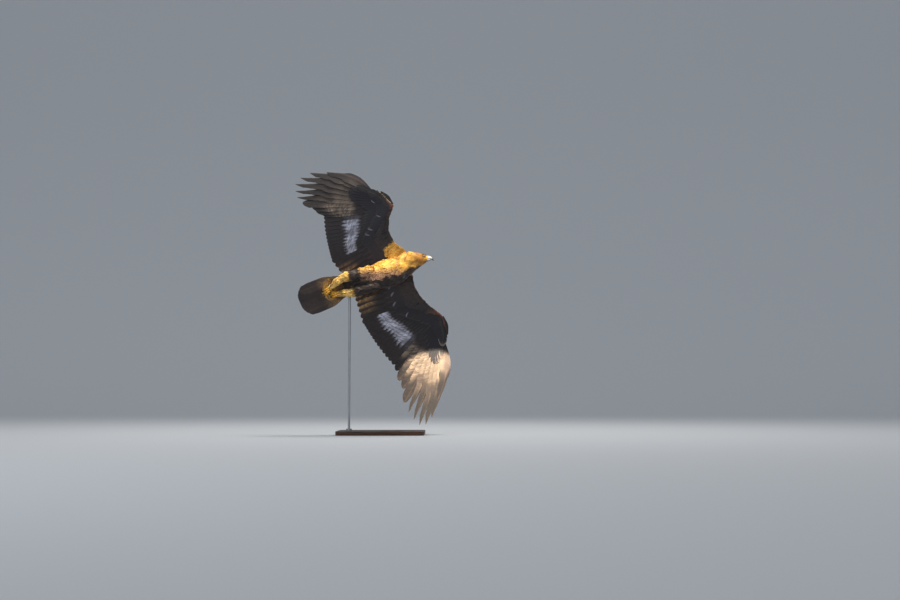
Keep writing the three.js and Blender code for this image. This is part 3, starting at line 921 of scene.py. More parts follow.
@dataclass(frozen=True)
class Marks:
    """Where the body's markings, painted light and painted shade begin and end, in plan millimetres."""

    # The breast edge, the breast's rear end and the gold range bound the painted sunlight over the right
    # side of the breast, neck and face.
    breast_edge: tuple[Point, ...] = ((-70, 2), (-20, 12), (38, 18), (150, 23), (249, 12), (341, 12))
    breast_rear: Point = (-66, -46)
    gold_from: Point = (15, 75)
    throat_from: Point = (190, 240)
    nape_from: Point = (150, 205)
    face_from: Point = (236, 290)
    shoulder: tuple[Point, ...] = ((-80, 96), (8, 123), (106, 136), (159, 163), (240, 180))
    soft: Point = (-5, 6)
    left_shoulder: float = 88.0
    wing_from: Point = (-60, -20)
    axillary: Point = (120, 240)
    rufous: Point = (20, 95)
    leg_edge: Point = (-2, 7)
    leg_from: Point = (100, 130)
    flank: Point = (36, 54)
    flank_rear: Point = (112, 140)
    vent: Point = (168, 196)
    gold_below: Point = (8, 22)
    panel_from: tuple[Point, ...] = (
        (0, 0.52), (0.11, 0.48), (0.22, 0.42), (0.44, 0.33), (0.67, 0.26), (1, 0.24)
    )
    # The edge and reach of the painted sunlight on the left hand's under coverts.
    sunlit: Point = (484, 0.32)
    sunlit_edge: Point = (-8, 12)
    covert_reach: float = 130.0
    panel_to: Point = (0.70, 0.64)
    outer: Point = (0.35, 0.75)
    # Painted shade: how much of the outer primaries' pale panel is painted dark on each side, far more on
    # the right hand.
    outer_dark: dict[Side, float] = field(default_factory=lambda: {Side.LEFT: 0.1, Side.RIGHT: 0.7})
    # Where the secondaries' silvery band lies: their own pale grey band, brightened as painted sheen.
    band_at: float = 0.61
    band_half: float = 0.165


MARKS = Marks()


def edge_at(points: Array, edge: Sequence[Point]) -> Array:
    """An edge's place to the left at each plan point."""
    ahead, out = np.array(edge, float).T
    return np.interp(points[:, 0], ahead, out)


# The body's inks that have a tip colour of their own, in the order that body_tint takes them
INKED = ("belly", "throat", "breast_dusk", "breast", "back", "hackle", "leg")


def body_tint(points: Array, normals: Array) -> list[Array]:
    """The markings of the body at plan points, with painted sunlight over the right side of the breast, neck
    and face and painted shade beyond it.

    Args:
        points: Plan points, one row each.
        normals: The surface's outward directions there.

    Returns:
        The ground colour and the tip colour of a feather at each point.
    """
    a, p, high = points.T
    under = smoothstep(-normals[:, 2], -0.35, 0.25)
    wavy = 4 * np.sin(a / 21) + 3 * np.sin(a / 8 + 1)
    # Painted sunlight over the right side of the breast, up to a wavy edge, with painted shade beyond it.
    painted_sun = smoothstep(edge_at(points, MARKS.breast_edge) + wavy - p, *MARKS.soft)
    painted_sun = painted_sun * smoothstep(a + 0.15 * p, *MARKS.breast_rear)
    # Brightest gold high in the painted sunlight, dimmer towards its lower edge.
    gold = smoothstep(-p + 0.3 * a, *MARKS.gold_from)
    front, nape = smoothstep(a, *MARKS.throat_from), smoothstep(a, *MARKS.nape_from)
    # The face is golden where the painted sunlight falls and on top; elsewhere the throat's painted shade
    # shows.
    face = smoothstep(a, *MARKS.face_from) * np.maximum(painted_sun, 1 - under)
    flank = smoothstep(np.abs(p), *MARKS.flank) * smoothstep(-a, *MARKS.flank_rear)
    pale = np.maximum(flank, 0.5 * smoothstep(-a, *MARKS.vent)) * smoothstep(-normals[:, 2], 0.0, 0.4)
    pale = pale * smoothstep(-high, *MARKS.gold_below)
    tints = []
    for end in ("", "_tip"):
        belly, throat, shaded_breast, breast, back, hackle, leg = (getattr(INK, name + end) for name in INKED)
        lower = mix(mix(belly, throat, front), mix(shaded_breast, breast, gold), painted_sun)
        tint = mix(mix(mix(back, hackle, nape), lower, under), hackle, face)
        tints.append(mix(tint, leg, pale))
    return tints


# Feathers


@dataclass(frozen=True)
class Outline:
    """A vane's width along its length, as a share of its full width, and how its tip is rounded."""

    base: float = 0.12
    swell: float = 0.45
    tip: float = 0.8
    narrow_from: float = 0.8
    trail: float = 0.09
    round: float = 2.2
    notch: float = 0.0
    notch_at: tuple[float, float] = (0.62, 0.8)

    def share(self, along: Array) -> Array:
        """The share of the width at places from 0 at the root to 1 at the tip."""
        grown = self.base + (1 - self.base) * smoothstep(along, 0, self.swell)
        narrowed = 1 - (1 - self.tip) * smoothstep(along, self.narrow_from, 1)
        return grown * narrowed * (1 - self.notch * smoothstep(along, *self.notch_at))

    def behind(self, along: Array, across: Array) -> Array:
        """How far the vane's edges trail behind its shaft, as a share of its length."""
        return self.trail * np.abs(across) ** self.round * smoothstep(along, 0.3, 1)


BROAD = Outline()
FINGER = Outline(swell=0.42, tip=0.55, narrow_from=0.82, trail=0.11, round=1.3, notch=0.4)
COVERT = Outline(base=0.35, swell=0.5, tip=0.85, trail=0.2)
HACKLE = Outline(base=0.4, swell=0.35, tip=0.14, narrow_from=0.35, trail=0.06, round=1.2)
TAIL_OUTLINE = Outline(base=0.25, swell=0.4, tip=0.85, trail=0.09)


@dataclass(frozen=True)
class VaneGrid:
    """How finely a vane is divided: places along it, and places across it from -1 to 1."""

    along: tuple[float, ...]
    across: tuple[float, ...]

    @property
    def shape(self) -> tuple[int, int]:
        """Rows and columns."""
        return len(self.along), len(self.across)

    def places(self) -> list[Array]:
        """The places along and across the vane, each as row by column."""
        return np.meshgrid(np.array(self.along, float), np.array(self.across, float), indexing="ij")

    def faces(self) -> Array:
        """The quads of the closed vane, the upper sheet's corners before the lower sheet's.

        Returns:
            Four corner numbers for each quad.
        """
        rows, columns = self.shape
        top = np.arange(rows * columns).reshape(rows, columns)
        low = top + rows * columns
        quads = []
        for sheet, order in ((top, (0, 1, 2, 3)), (low, (3, 2, 1, 0))):
            corners = (sheet[:-1, :-1], sheet[:-1, 1:], sheet[1:, 1:], sheet[1:, :-1])
            quads.append(np.stack([corners[k] for k in order], -1).reshape(-1, 4))
        rim = np.concatenate([top[0, :-1], top[:-1, -1], top[-1, :0:-1], top[:0:-1, 0]])
        after = np.roll(rim, -1)
        quads.append(np.stack([after, rim, rim + rows * columns, after + rows * columns], -1))
        return np.concatenate(quads)


def vane_place(x: Array, along: Array, length: float) -> Array:
    """Where points lie on a vane, across and along, in decimetres."""
    return np.stack([x / 100, along * length / 100], -1)


def bake_patch(middle: Array, across: Array, along: Array) -> Array:
    """The small patch of the baking map, about a place on it, that a vane takes up."""
    return middle + np.stack([across, 2 * along - 1], -1) * TUFT_PATCH / 2


def evenly(rows: int) -> tuple[float, ...]:
    """Places along a vane, closer together at its tip."""
    return tuple(1 - (1 - t) ** 1.3 for t in np.linspace(0, 1, rows))


QUILL_GRID = VaneGrid(evenly(30), (-1, -0.62, -0.25, -0.05, 0.05, 0.25, 0.62, 1))
COVERT_GRID = VaneGrid(evenly(8), (-1, -0.5, 0, 0.5, 1))
HACKLE_GRID = VaneGrid(evenly(8), (-1, 0, 1))
FACE_GRID = VaneGrid(evenly(6), (-1, 0, 1))


class Plumes:
    """Many vanes of one grid, gathered into one closed mesh."""

    def __init__(self, name: str, grid: VaneGrid) -> None:
        """Starts with no vanes.

        Args:
            name: The mesh's name.
            grid: How finely each vane is divided.
        """
        self.name = name
        self.grid = grid
        self.sheets: list[Array] = []
        self.vanes: list[Array] = []
        self.bakes: list[Array] = []
        self.tints: list[Array] = []

    def add(
        self,
        middle: Array,
        normal: Array,
        half: Array,
        vane: Array,
        bake: Array,
        tint: Array,
        bars: float = 0.0,
    ) -> None:
        """Adds one vane.

        Args:
            middle: The vane's middle sheet in the plan, as row by column by coordinate.
            normal: The direction of its upper face, one or for each point.
            half: Half its thickness at each point.
            vane: Where each point lies on the vane, across and along, in decimetres.
            bake: Each point's place on the baking map.
            tint: Each point's colour, for both faces alike or for the upper and the lower one.
            bars: How strongly dark bars cross it.
        """
        lift = normal * half[..., None]
        self.sheets.append(np.stack([middle + lift, middle - lift]).reshape(-1, 3))
        self.vanes.append(np.tile(vane.reshape(-1, 2), (2, 1)))
        self.bakes.append(np.tile(bake.reshape(-1, 2), (2, 1)))
        inked = np.concatenate([tint, np.broadcast_to(bars, (*tint.shape[:-1], 1))], -1)
        self.tints.append(np.broadcast_to(inked, (2, *middle.shape[:2], 4)).reshape(-1, 4))

    def build(self) -> Piece:
        """The mesh of all the vanes, each turned right side out.

        Returns:
            The object.
        """
        points = PLAN.world(np.array(self.sheets))
        faces = self.grid.faces()
        corner = points[:, faces]
        first = np.einsum("nfk,nfk->n", corner[:, :, 0], np.cross(corner[:, :, 1], corner[:, :, 2]))
        second = np.einsum("nfk,nfk->n", corner[:, :, 0], np.cross(corner[:, :, 2], corner[:, :, 3]))
        outward = (first + second > 0)[:, None, None]
        offsets = (np.arange(len(points)) * points.shape[1])[:, None, None]
        quads = (np.where(outward, faces[None], faces[None, :, ::-1]) + offsets).reshape(-1, 4)
        mesh = bpy.data.meshes.new(self.name)
        mesh.from_pydata(points.reshape(-1, 3), [], quads)
        for name, rows in ((BAKE_MAP, self.bakes), (VANE_MAP, self.vanes)):
            layer = mesh.uv_layers.new(name=name)
            layer.data.foreach_set("uv", np.concatenate(rows)[quads.ravel()].ravel())
        tint_mesh(mesh, np.concatenate(self.tints))
        mesh.polygons.foreach_set("use_smooth", np.ones(len(quads), bool))
        mesh.set_sharp_from_angle(angle=SHARP)
        mesh.update()
        piece = bpy.data.objects.new(self.name, mesh)
        bpy.context.scene.collection.objects.link(piece)
        return piece


# Skin


@dataclass(frozen=True)
class Section:
    """One oval section across the body."""

    at: Triple
    wide: float
    up: float
    down: float
    roll: float


BODY_SECTIONS = (
    Section((-216, -9, 3), 57, 13, 17, 12),
    Section((-196, -8, 3), 78, 19, 25, 12),
    Section((-165, -5, 2), 74, 28, 40, 12),
    Section((-115, -2, 0), 68, 38, 56, 12),
    Section((-55, 0, 0), 74, 47, 73, 12),
    Section((5, 0, 0), 81, 53, 86, 12),
    Section((60, 0, 0), 87, 56, 91, 12),
    Section((110, 0, 0), 86, 55, 85, 12),
    Section((152, 0, 2), 79, 51, 72, 12),
    Section((186, -5, 5), 74, 48, 60, 13),
    Section((215, -16, 9), 72, 47, 55, 16),
    Section((243, -22, 12), 67, 44, 50, 23),
    Section((268, -23, 14), 57, 42, 46, 36),
    Section((290, -21, 14), 44, 41, 42, 50),
    Section((304, -18, 13), 35, 35, 36, 58),
    Section((318, -16, 12), 28, 28, 30, 58),
    Section((328, -13, 11), 17, 17, 20, 58),
)


@dataclass(frozen=True)
class LegPose:
    """Where a leg's joints lie in the plan."""

    side: Side
    knee: Triple
    ankle: Triple
    foot: Triple

    @property
    def hip(self) -> Triple:
        """The thigh's upper end, inside the body."""
        return (self.knee[0] + 30, self.knee[1], self.knee[2] + 12)


LEG_RADII = (20, 33, 21, 10)
LEGS = (
    LegPose(Side.LEFT, (-20, 52, -46), (-158, 46, -46), (-238, 29, -42)),
    LegPose(Side.RIGHT, (-30, -44, -66), (-178, -52, -62), (-276, -13, -52)),
)


@dataclass(frozen=True)
class WingPose:
    """What one wing does in the turn, in millimetres and degrees ahead of straight out."""

    side: Side
    shoulder: Point
    root: float
    humerus: float
    ulna: float
    hand: float
    fan: Triple
    inner: Triple
    leading: tuple[Point, Point, Point]
    bend: float
    arm_slope: float
    hand_slope: float
    hand_curve: float


@dataclass(frozen=True)
class Feather:
    """One feather of a wing, by its root, heading and size."""

    root: Array
    angle: float
    length: float
    wide: float
    outline: Outline
    lead: float = 0.42
    level: float = 0.0
    sunk: float = 1.0
    bow: float = 0.02
    rank: float = 0.0


class FlightKind(Enum):
    """The three groups of flight feathers."""

    PRIMARY = "primary"
    SECONDARY = "secondary"
    TERTIAL = "tertial"


@dataclass
class Wing:
    """One wing's bones, feathers and the height of its surface over the plan."""

    pose: WingPose
    bones: Triple = (178.0, 208.0, 122.0)
    primaries: tuple[float, ...] = (398, 429, 448, 510, 551, 570, 583, 561, 504, 383)
    secondaries: tuple[int, float, float] = (12, 387, 266)
    tertials: tuple[int, float, float] = (6, 266, 268)
    hand_reach: float = 600.0
    camber: float = 16.0
    tilt: float = 0.09
    elbow: Array = field(init=False)
    wrist: Array = field(init=False)
    fingertip: Array = field(init=False)

    def __post_init__(self) -> None:
        """Works out the joints from the bones."""
        pose = self.pose
        self.elbow = step(pose.shoulder, pose.humerus, self.bones[0])
        self.wrist = step(self.elbow, pose.ulna, self.bones[1])
        self.fingertip = step(self.wrist, pose.hand, self.bones[2])

    def lift(self, a: Array, p: Array) -> Array:
        """The height of the wing's middle surface over plan places.

        Args:
            a: Places ahead.
            p: Places out from the middle.

        Returns:
            The heights.
        """
        pose = self.pose
        sa, sp = pose.shoulder
        wa, wp = self.wrist
        reach = math.hypot(wa - sa, wp - sp)
        behind = ((wa - sa) * (p - sp) - (wp - sp) * (a - sa)) / reach
        axis = heading(pose.bend)
        past = (a - wa) * axis[0] + (p - wp) * axis[1]
        beyond = (past + np.hypot(past, 60)) / 2
        arch = self.camber * (1 - np.minimum(1.6, ((behind - 130) / 230) ** 2))
        arm = pose.root + pose.arm_slope * (p - sp) + arch * (1 - smoothstep(beyond, 60, 300))
        return arm + pose.hand_slope * beyond + pose.hand_curve * beyond**2 / (2 * self.hand_reach)

    def at(self, a: Array, p: Array, above: Array) -> Array:
        """Plan points at a height above the wing's middle surface."""
        return np.stack([a, self.pose.side.value * p, self.lift(a, p) + above], -1)

    def plan_length(self, root: Array, angle: float, length: float) -> float:
        """How far a feather of this length reaches in the plan, as it follows the surface.

        Args:
            root: Its root, ahead and out.
            angle: Its heading.
            length: Its length.

        Returns:
            The reach in the plan.
        """
        reach = np.linspace(0, length, 100)
        places = np.asarray(root)[:, None] + np.outer(heading(angle), reach)
        points = self.at(places[0], places[1], np.zeros(100))
        run = np.concatenate([[0], np.cumsum(np.linalg.norm(np.diff(points, axis=0), axis=1))])
        return float(np.interp(length, run, reach))

    def leading_at(self, share: float) -> Array:
        """A point of the leading edge between the body, 0, and the wrist, 1."""
        first, over, last = self.pose.leading
        return between(between(first, over, share), between(over, last, share), share)

    def flights(self) -> list[tuple[FlightKind, Feather]]:
        """The flight feathers from the outermost primary in.

        Returns:
            Each feather with the group it belongs to.
        """
        pose = self.pose
        found: list[tuple[FlightKind, Feather]] = []
        count = len(self.primaries)
        first, middle, last = pose.fan
        for i in reversed(range(count)):
            t = i / (count - 1)
            angle = first * (1 - t) * (1 - 2 * t) + middle * 4 * t * (1 - t) + last * t * (2 * t - 1)
            bone = between(self.wrist, self.fingertip, 0.1 + 0.83 * t)
            finger = i >= 4
            shape = Feather(
                root=step(bone, angle, 4),
                angle=angle,
                length=self.primaries[i],
                wide=64 if finger else 68,
                outline=FINGER if finger else BROAD,
                lead=0.36 if finger else 0.42,
                level=-0.9 * max(0, i - 4),
                bow=0.02 + 0.08 * t**3,
                rank=t,
            )
            found.append((FlightKind.PRIMARY, shape))
        outer, inner, innermost = pose.inner
        arm = (self.wrist, self.elbow, pose.shoulder)
        inwards = (
            (FlightKind.SECONDARY, self.secondaries, arm[:2], (0.045, 0.955), (outer, inner), 66, 0.02),
            (FlightKind.TERTIAL, self.tertials, arm[1:], (0.09, 0.9), (inner, innermost), 62, 0.01),
        )
        for kind, (number, longest, shortest), bones, ends, angles, wide, bow in inwards:
            for t in np.linspace(0, 1, number):
                angle = angles[0] + (angles[1] - angles[0]) * t
                bone = between(*bones, ends[0] + (ends[1] - ends[0]) * t)
                length = longest + (shortest - longest) * t
                shape = Feather(step(bone, angle, 4), angle, length, wide, BROAD, bow=bow, rank=t)
                found.append((kind, shape))
        return found

    def sections(self) -> list[tuple[Array, Array, float, float]]:
        """The flesh's sections from inside out: front, rear, half thickness and rear half thickness.

        Returns:
            The sections, each as front, rear and the two half thicknesses.
        """
        pose = self.pose
        shoulder, leading = pose.shoulder, pose.leading
        back = np.array([22.0, 0.0])
        half_hand = between(self.wrist, self.fingertip, 0.5)
        tip_front = step(step(self.fingertip, pose.hand, 6), pose.hand + 90, 31)
        return [
            (np.array([212.0, 30.0]), np.array([shoulder[0] - 30, 6.0]), 19, 8),
            (self.leading_at(0.03), np.array([shoulder[0] - 30, leading[0][1]]), 19, 8),
            (self.leading_at(0.28), between(shoulder, self.elbow, 0.5) - back, 17, 7),
            (self.leading_at(0.55), self.elbow - back, 15, 6.5),
            (self.leading_at(0.8), step(between(self.elbow, self.wrist, 0.5), pose.inner[0], 20), 13.5, 6),
            (np.array(leading[2], float), step(self.wrist, pose.fan[0] + 4, 20), 12.5, 5.5),
            (step(half_hand, pose.hand + 90, 38), step(half_hand, pose.fan[1], 17), 9, 4.5),
            (tip_front, step(self.fingertip, pose.fan[2] - 30, 9), 5, 3),
        ]

    def section_at(self, station: float) -> tuple[Array, Array, float, float]:
        """A section between two of the listed ones, by a number that counts them.

        Args:
            station: The number, from 0 at the first section.

        Returns:
            The section.
        """
        sections = self.sections()
        low = min(int(station), len(sections) - 2)
        share = station - low
        front, rear = (between(sections[low][k], sections[low + 1][k], share) for k in (0, 1))
        half, rear_half = (sections[low][k] * (1 - share) + sections[low + 1][k] * share for k in (2, 3))
        return front, rear, half, rear_half

    def lie_at(self, station: float) -> float:
        """The heading of the small feathers at a station."""
        pose = self.pose
        wrist = (pose.inner[0] + pose.fan[0]) / 2
        angles = (pose.inner[2], pose.inner[1], wrist, pose.fan[1], pose.fan[2])
        return float(np.interp(station, (1, 3, 5, 6, 7), angles))


LEFT_WING = WingPose(
    side=Side.LEFT,
    shoulder=(116, 66),
    root=40,
    humerus=-2.3,
    ulna=58.2,
    hand=-3.0,
    fan=(-58.4, -36.4, -22.9),
    inner=(-61.7, -87.9, -95.0),
    leading=((226, 53), (172, 160), (316, 337)),
    bend=4.2,
    arm_slope=0.17,
    hand_slope=-0.16,
    hand_curve=-0.28,
)
RIGHT_WING = WingPose(
    side=Side.RIGHT,
    shoulder=(106, 72),
    root=14,
    humerus=-21.3,
    ulna=50.5,
    hand=-25.5,
    fan=(-77.7, -67.2, -47.0),
    inner=(-79.7, -101.7, -107.0),
    leading=((236, 84), (93, 218), (240, 373)),
    bend=-12.3,
    arm_slope=-0.08,
    hand_slope=0.387,
    hand_curve=0.81,
)

FLESH_PROFILE = ((0, 0), (0.07, 0.6), (0.3, 1), (0.65, 0.85))


@dataclass(frozen=True)
class EyeSizes:
    """The eye and its lids, in the head's frame."""

    radius: float = 11.5
    forward: float = 10.5
    out: float = 20.0
    up: float = 5.0
    wide: float = 40.0
    over: float = 27.0
    below: float = 36.0
    slant: float = 22.0
    band: float = 14.0
    lid: float = 0.75
    lid_out: float = 27.8
    lid_thick: float = 1.5
    bare: float = 10.2
    inside: float = 8.0
    beside: float = 14.0
    hollow: float = 6.0
    hollow_from: float = 5.0

    def centre(self, side: Side) -> Array:
        """The middle of one eyeball."""
        return np.array([self.forward, side.value * self.out, self.up])

    def front(self, side: Side) -> Array:
        """The foremost point of one eye, in the middle of its opening."""
        return self.centre(side) + self.radius * self.gaze(side)

    def rim(self, turn: Array) -> Array:
        """How wide the lids open about the line of sight, in degrees, by the turn from the front corner."""
        rise = np.sin(turn + math.radians(self.slant))
        edge = np.where(rise > 0, self.over, self.below)
        return self.wide + (edge - self.wide) * rise**2

    def gaze(self, side: Side) -> Array:
        """Where one eye looks, in the head's frame."""
        return unit(np.array([0.24, side.value * 0.96, 0.03]))


@dataclass(frozen=True)
class SkinSizes:
    """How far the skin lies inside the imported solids, and how finely it is divided."""

    body: float = 6.5
    head: float = 3.2
    limb: float = 3.0
    thigh: tuple[float, ...] = (18, 32, 29, 20)
    shank: tuple[float, ...] = (19, 17, 9)
    fold: float = 7.0
    fold_size: float = 34.0
    fold_neck: Point = (235, 275)
    fold_wing: Point = (90, 120)
    fold_left: float = 0.7
    neck: Point = (225, 290)
    body_grid: tuple[int, int] = (70, 48)
    wing_count: int = 44
    thigh_grid: tuple[int, int] = (16, 24)
    shank_grid: tuple[int, int] = (24, 20)
    shank_from: int = 11
    voxel: float = 3.6
    smoothing: int = 5
    brow: Triple = (19.0, 8.0, 5.0)
    brow_at: Triple = (9.0, 26.0, 14.6)
    brow_tilt: Point = (14.0, -8.0)


class Skin:
    """The flesh under the coat as one closed skin, with what feathers need to know of it."""

    def __init__(self, wings: Sequence[Wing], eye: EyeSizes, sizes: SkinSizes = SkinSizes()) -> None:
        """Builds the skin and its search tree.

        Args:
            wings: The bird's two wings.
            eye: The eye's sizes, for the sockets.
            sizes: How far in and how fine the skin is.
        """
        self.wings = {wing.pose.side: wing for wing in wings}
        self.eye = eye
        self.sizes = sizes
        self.piece = self.build()
        self.unwrap()
        self.read()

    def build(self) -> Piece:
        """Joins the body, wings, legs and brows and blends them into each other.

        Returns:
            The blended object.
        """
        sizes = self.sizes
        parts = [loft("body flesh", self.body_rings())]
        parts += [loft("wing flesh", self.wing_rings(wing)) for wing in self.wings.values()]
        for leg in LEGS:
            thigh = smooth_path([leg.hip, leg.knee, leg.ankle], sizes.thigh_grid[0])
            shank = smooth_path([leg.knee, leg.ankle, leg.foot], sizes.shank_grid[0])[sizes.shank_from :]
            parts.append(loft("thigh", tube(thigh, sizes.thigh, sizes.thigh_grid[1], UP)))
            parts.append(loft("shank", tube(shank, sizes.shank, sizes.shank_grid[1], UP)))
        parts += [self.brow(side) for side in Side]
        skin = join(parts, "skin")
        apply_modifier(skin, "REMESH", mode="VOXEL", voxel_size=sizes.voxel * MM)
        apply_modifier(skin, "SMOOTH", factor=0.5, iterations=sizes.smoothing)
        self.raise_folds(skin)
        self.sink_sockets(skin)
        bpy.ops.object.shade_smooth()
        return skin

    def raise_folds(self, skin: Piece) -> None:
        """Lets the plumage's tracts swell and sink a little over the body and the thighs.

        Args:
            skin: The skin's object.
        """
        points = PLAN.plan(coordinates(skin))
        sizes = self.sizes
        share = 1 - smoothstep(points[:, 0], *sizes.fold_neck)
        share = share * (1 - sizes.fold_left * smoothstep(np.abs(points[:, 1]), *sizes.fold_wing))
        swell = ruffle(points, sizes.fold_size) * sizes.fold * share
        set_coordinates(skin, PLAN.world(points + outward_at(skin) * swell[:, None]))

    def brow(self, side: Side) -> Piece:
        """The ridge over one eye, tilted down towards the bill.

        Args:
            side: The side of the bird.

        Returns:
            The object.
        """
        ahead, out, up = self.sizes.brow_at
        pitch, yaw = (math.radians(angle) for angle in self.sizes.brow_tilt)
        tilt = Matrix.Rotation(pitch, 3, "Y") @ Matrix.Rotation(yaw * side.value, 3, "Z")
        ridge = ball("brow", np.zeros(3), self.sizes.brow, Pose(at=(0, 0, 0)))
        own = PLAN.plan(coordinates(ridge)) @ np.array(tilt).T + np.array([ahead, side.value * out, up])
        set_head_points(ridge, own)
        return ridge

    def body_rings(self) -> Array:
        """The body's rings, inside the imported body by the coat's depth.

        Returns:
            The rings, as ring by side by coordinate.
        """
        rows = np.array([[*s.at, s.wide, s.up, s.down, s.roll] for s in BODY_SECTIONS], float)
        count, sides = self.sizes.body_grid
        rings = []
        for a, p, z, wide, up, down, roll in smooth_path(rows, count):
            turn = math.radians(roll)
            across = np.array([0, math.cos(turn), math.sin(turn)])
            upward = np.array([0, -math.sin(turn), math.cos(turn)])
            inset = float(np.interp(a, self.sizes.neck, (self.sizes.body, self.sizes.head)))
            halves = (wide - inset, up - inset, down - inset)
            rings.append(oval_ring(np.array([a, p, z]), across, upward, *halves, sides))
        return np.array(rings)

    def wing_rings(self, wing: Wing) -> Array:
        """The rings of one wing's flesh, from inside the body to the fingertip.

        Args:
            wing: The wing.

        Returns:
            The rings, as ring by side by coordinate.
        """
        inset = self.sizes.limb
        rings = []
        for station in np.linspace(0, len(wing.sections()) - 1, self.sizes.wing_count):
            front, rear, half, rear_half = wing.section_at(station)
            margin = inset / float(np.hypot(*(rear - front)))
            shares = np.array([t for t, _ in FLESH_PROFILE] + [1.0]) * (1 - 2 * margin) + margin
            places = front[None] * (1 - shares[:, None]) + rear[None] * shares[:, None]
            halves = np.array([share * half for _, share in FLESH_PROFILE] + [rear_half])
            halves = np.where(halves > 0, np.maximum(halves - inset, 1.0), 0.0)
            top = wing.at(places[:, 0], places[:, 1], halves)
            low = wing.at(places[:, 0], places[:, 1], -halves)
            rings.append(np.concatenate([top, low[:0:-1]]))
        return np.array(rings)

    def sink_sockets(self, skin: Piece) -> None:
        """Presses the skin in around each eye, so that the eyeball shows.

        Args:
            skin: The skin's object.
        """
        own = head_points(skin)
        for side in Side:
            centre = self.eye.front(side)
            beside = np.hypot(own[:, 0] - centre[0], own[:, 2] - centre[2])
            out = own[:, 1] * side.value
            near = (beside < self.eye.bare + 1) & (out > self.eye.inside)
            hollow = 1 - smoothstep(beside, self.eye.hollow_from, self.eye.bare + 1)
            room = self.eye.lid_out - self.eye.lid_thick - self.eye.hollow * hollow
            own[:, 1] = np.where(near & (out > room), side.value * room, own[:, 1])
        set_head_points(skin, own)

    def unwrap(self) -> None:
        """Gives the skin its baking map."""
        self.piece.data.uv_layers.new(name=BAKE_MAP)
        select(self.piece)
        bpy.ops.object.mode_set(mode="EDIT")
        bpy.ops.mesh.select_all(action="SELECT")
        bpy.ops.uv.smart_project(angle_limit=UNWRAP_ANGLE, island_margin=UNWRAP_MARGIN)
        bpy.ops.object.mode_set(mode="OBJECT")

    def read(self) -> None:
        """Reads the finished skin into arrays and a search tree, in plan millimetres."""
        mesh = self.piece.data
        self.points = PLAN.plan(coordinates(self.piece))
        mesh.calc_loop_triangles()
        corners = np.empty(len(mesh.loop_triangles) * 3, int)
        loops = np.empty(len(mesh.loop_triangles) * 3, int)
        mesh.loop_triangles.foreach_get("vertices", corners)
        mesh.loop_triangles.foreach_get("loops", loops)
        self.faces = corners.reshape(-1, 3)
        uv = np.empty(len(mesh.loops) * 2)
        mesh.uv_layers[BAKE_MAP].data.foreach_get("uv", uv)
        self.places = uv.reshape(-1, 2)[loops.reshape(-1, 3)].mean(1)
        self.tree = BVHTree.FromPolygons(self.points.tolist(), self.faces.tolist())
        edges = self.points[self.faces]
        cross = np.cross(edges[:, 1] - edges[:, 0], edges[:, 2] - edges[:, 0])
        self.areas = np.linalg.norm(cross, axis=1) / 2
        self.normals = cross / np.maximum(np.linalg.norm(cross, axis=1, keepdims=True), 1e-9)

    def nearest(self, point: Array) -> tuple[Array, Array, int]:
        """The skin's nearest point to a plan point, its outward direction and its face."""
        place, normal, index, _ = self.tree.find_nearest(Vector(point))
        return np.array(place), np.array(normal), index

    def bake_place(self, point: Array) -> Array:
        """Where the skin under a plan point lies on the baking map."""
        return self.places[self.nearest(point)[2]]

    def paint(self, markings: "Markings") -> None:
        """Paints the skin with the coat's markings."""
        ground, _ = markings.coat(self.points, outward_at(self.piece))
        tint_mesh(self.piece.data, np.hstack([ground, np.zeros((len(ground), 1))]))


def limb_share(points: Array, leg: LegPose) -> tuple[Array, Array]:
    """How near plan points lie to a leg's axis, and which way the leg runs there.

    Args:
        points: Plan points, one row each.
        leg: The leg.

    Returns:
        The distance of each point beyond the leg's radius, and the direction towards the foot.
    """
    joints = [np.array(j, float) for j in (leg.hip, leg.knee, leg.ankle, leg.foot)]
    best = np.full(len(points), np.inf)
    course = np.zeros_like(points)
    for first, second, wide, narrow in zip(joints, joints[1:], LEG_RADII, LEG_RADII[1:]):
        run = second - first
        share = np.clip((points - first) @ run / (run @ run), 0, 1)
        away = np.linalg.norm(points - first - share[:, None] * run, axis=1)
        beyond = away - (wide + (narrow - wide) * share)
        nearer = beyond < best
        best = np.where(nearer, beyond, best)
        course[nearer] = unit(run)
    return best, course


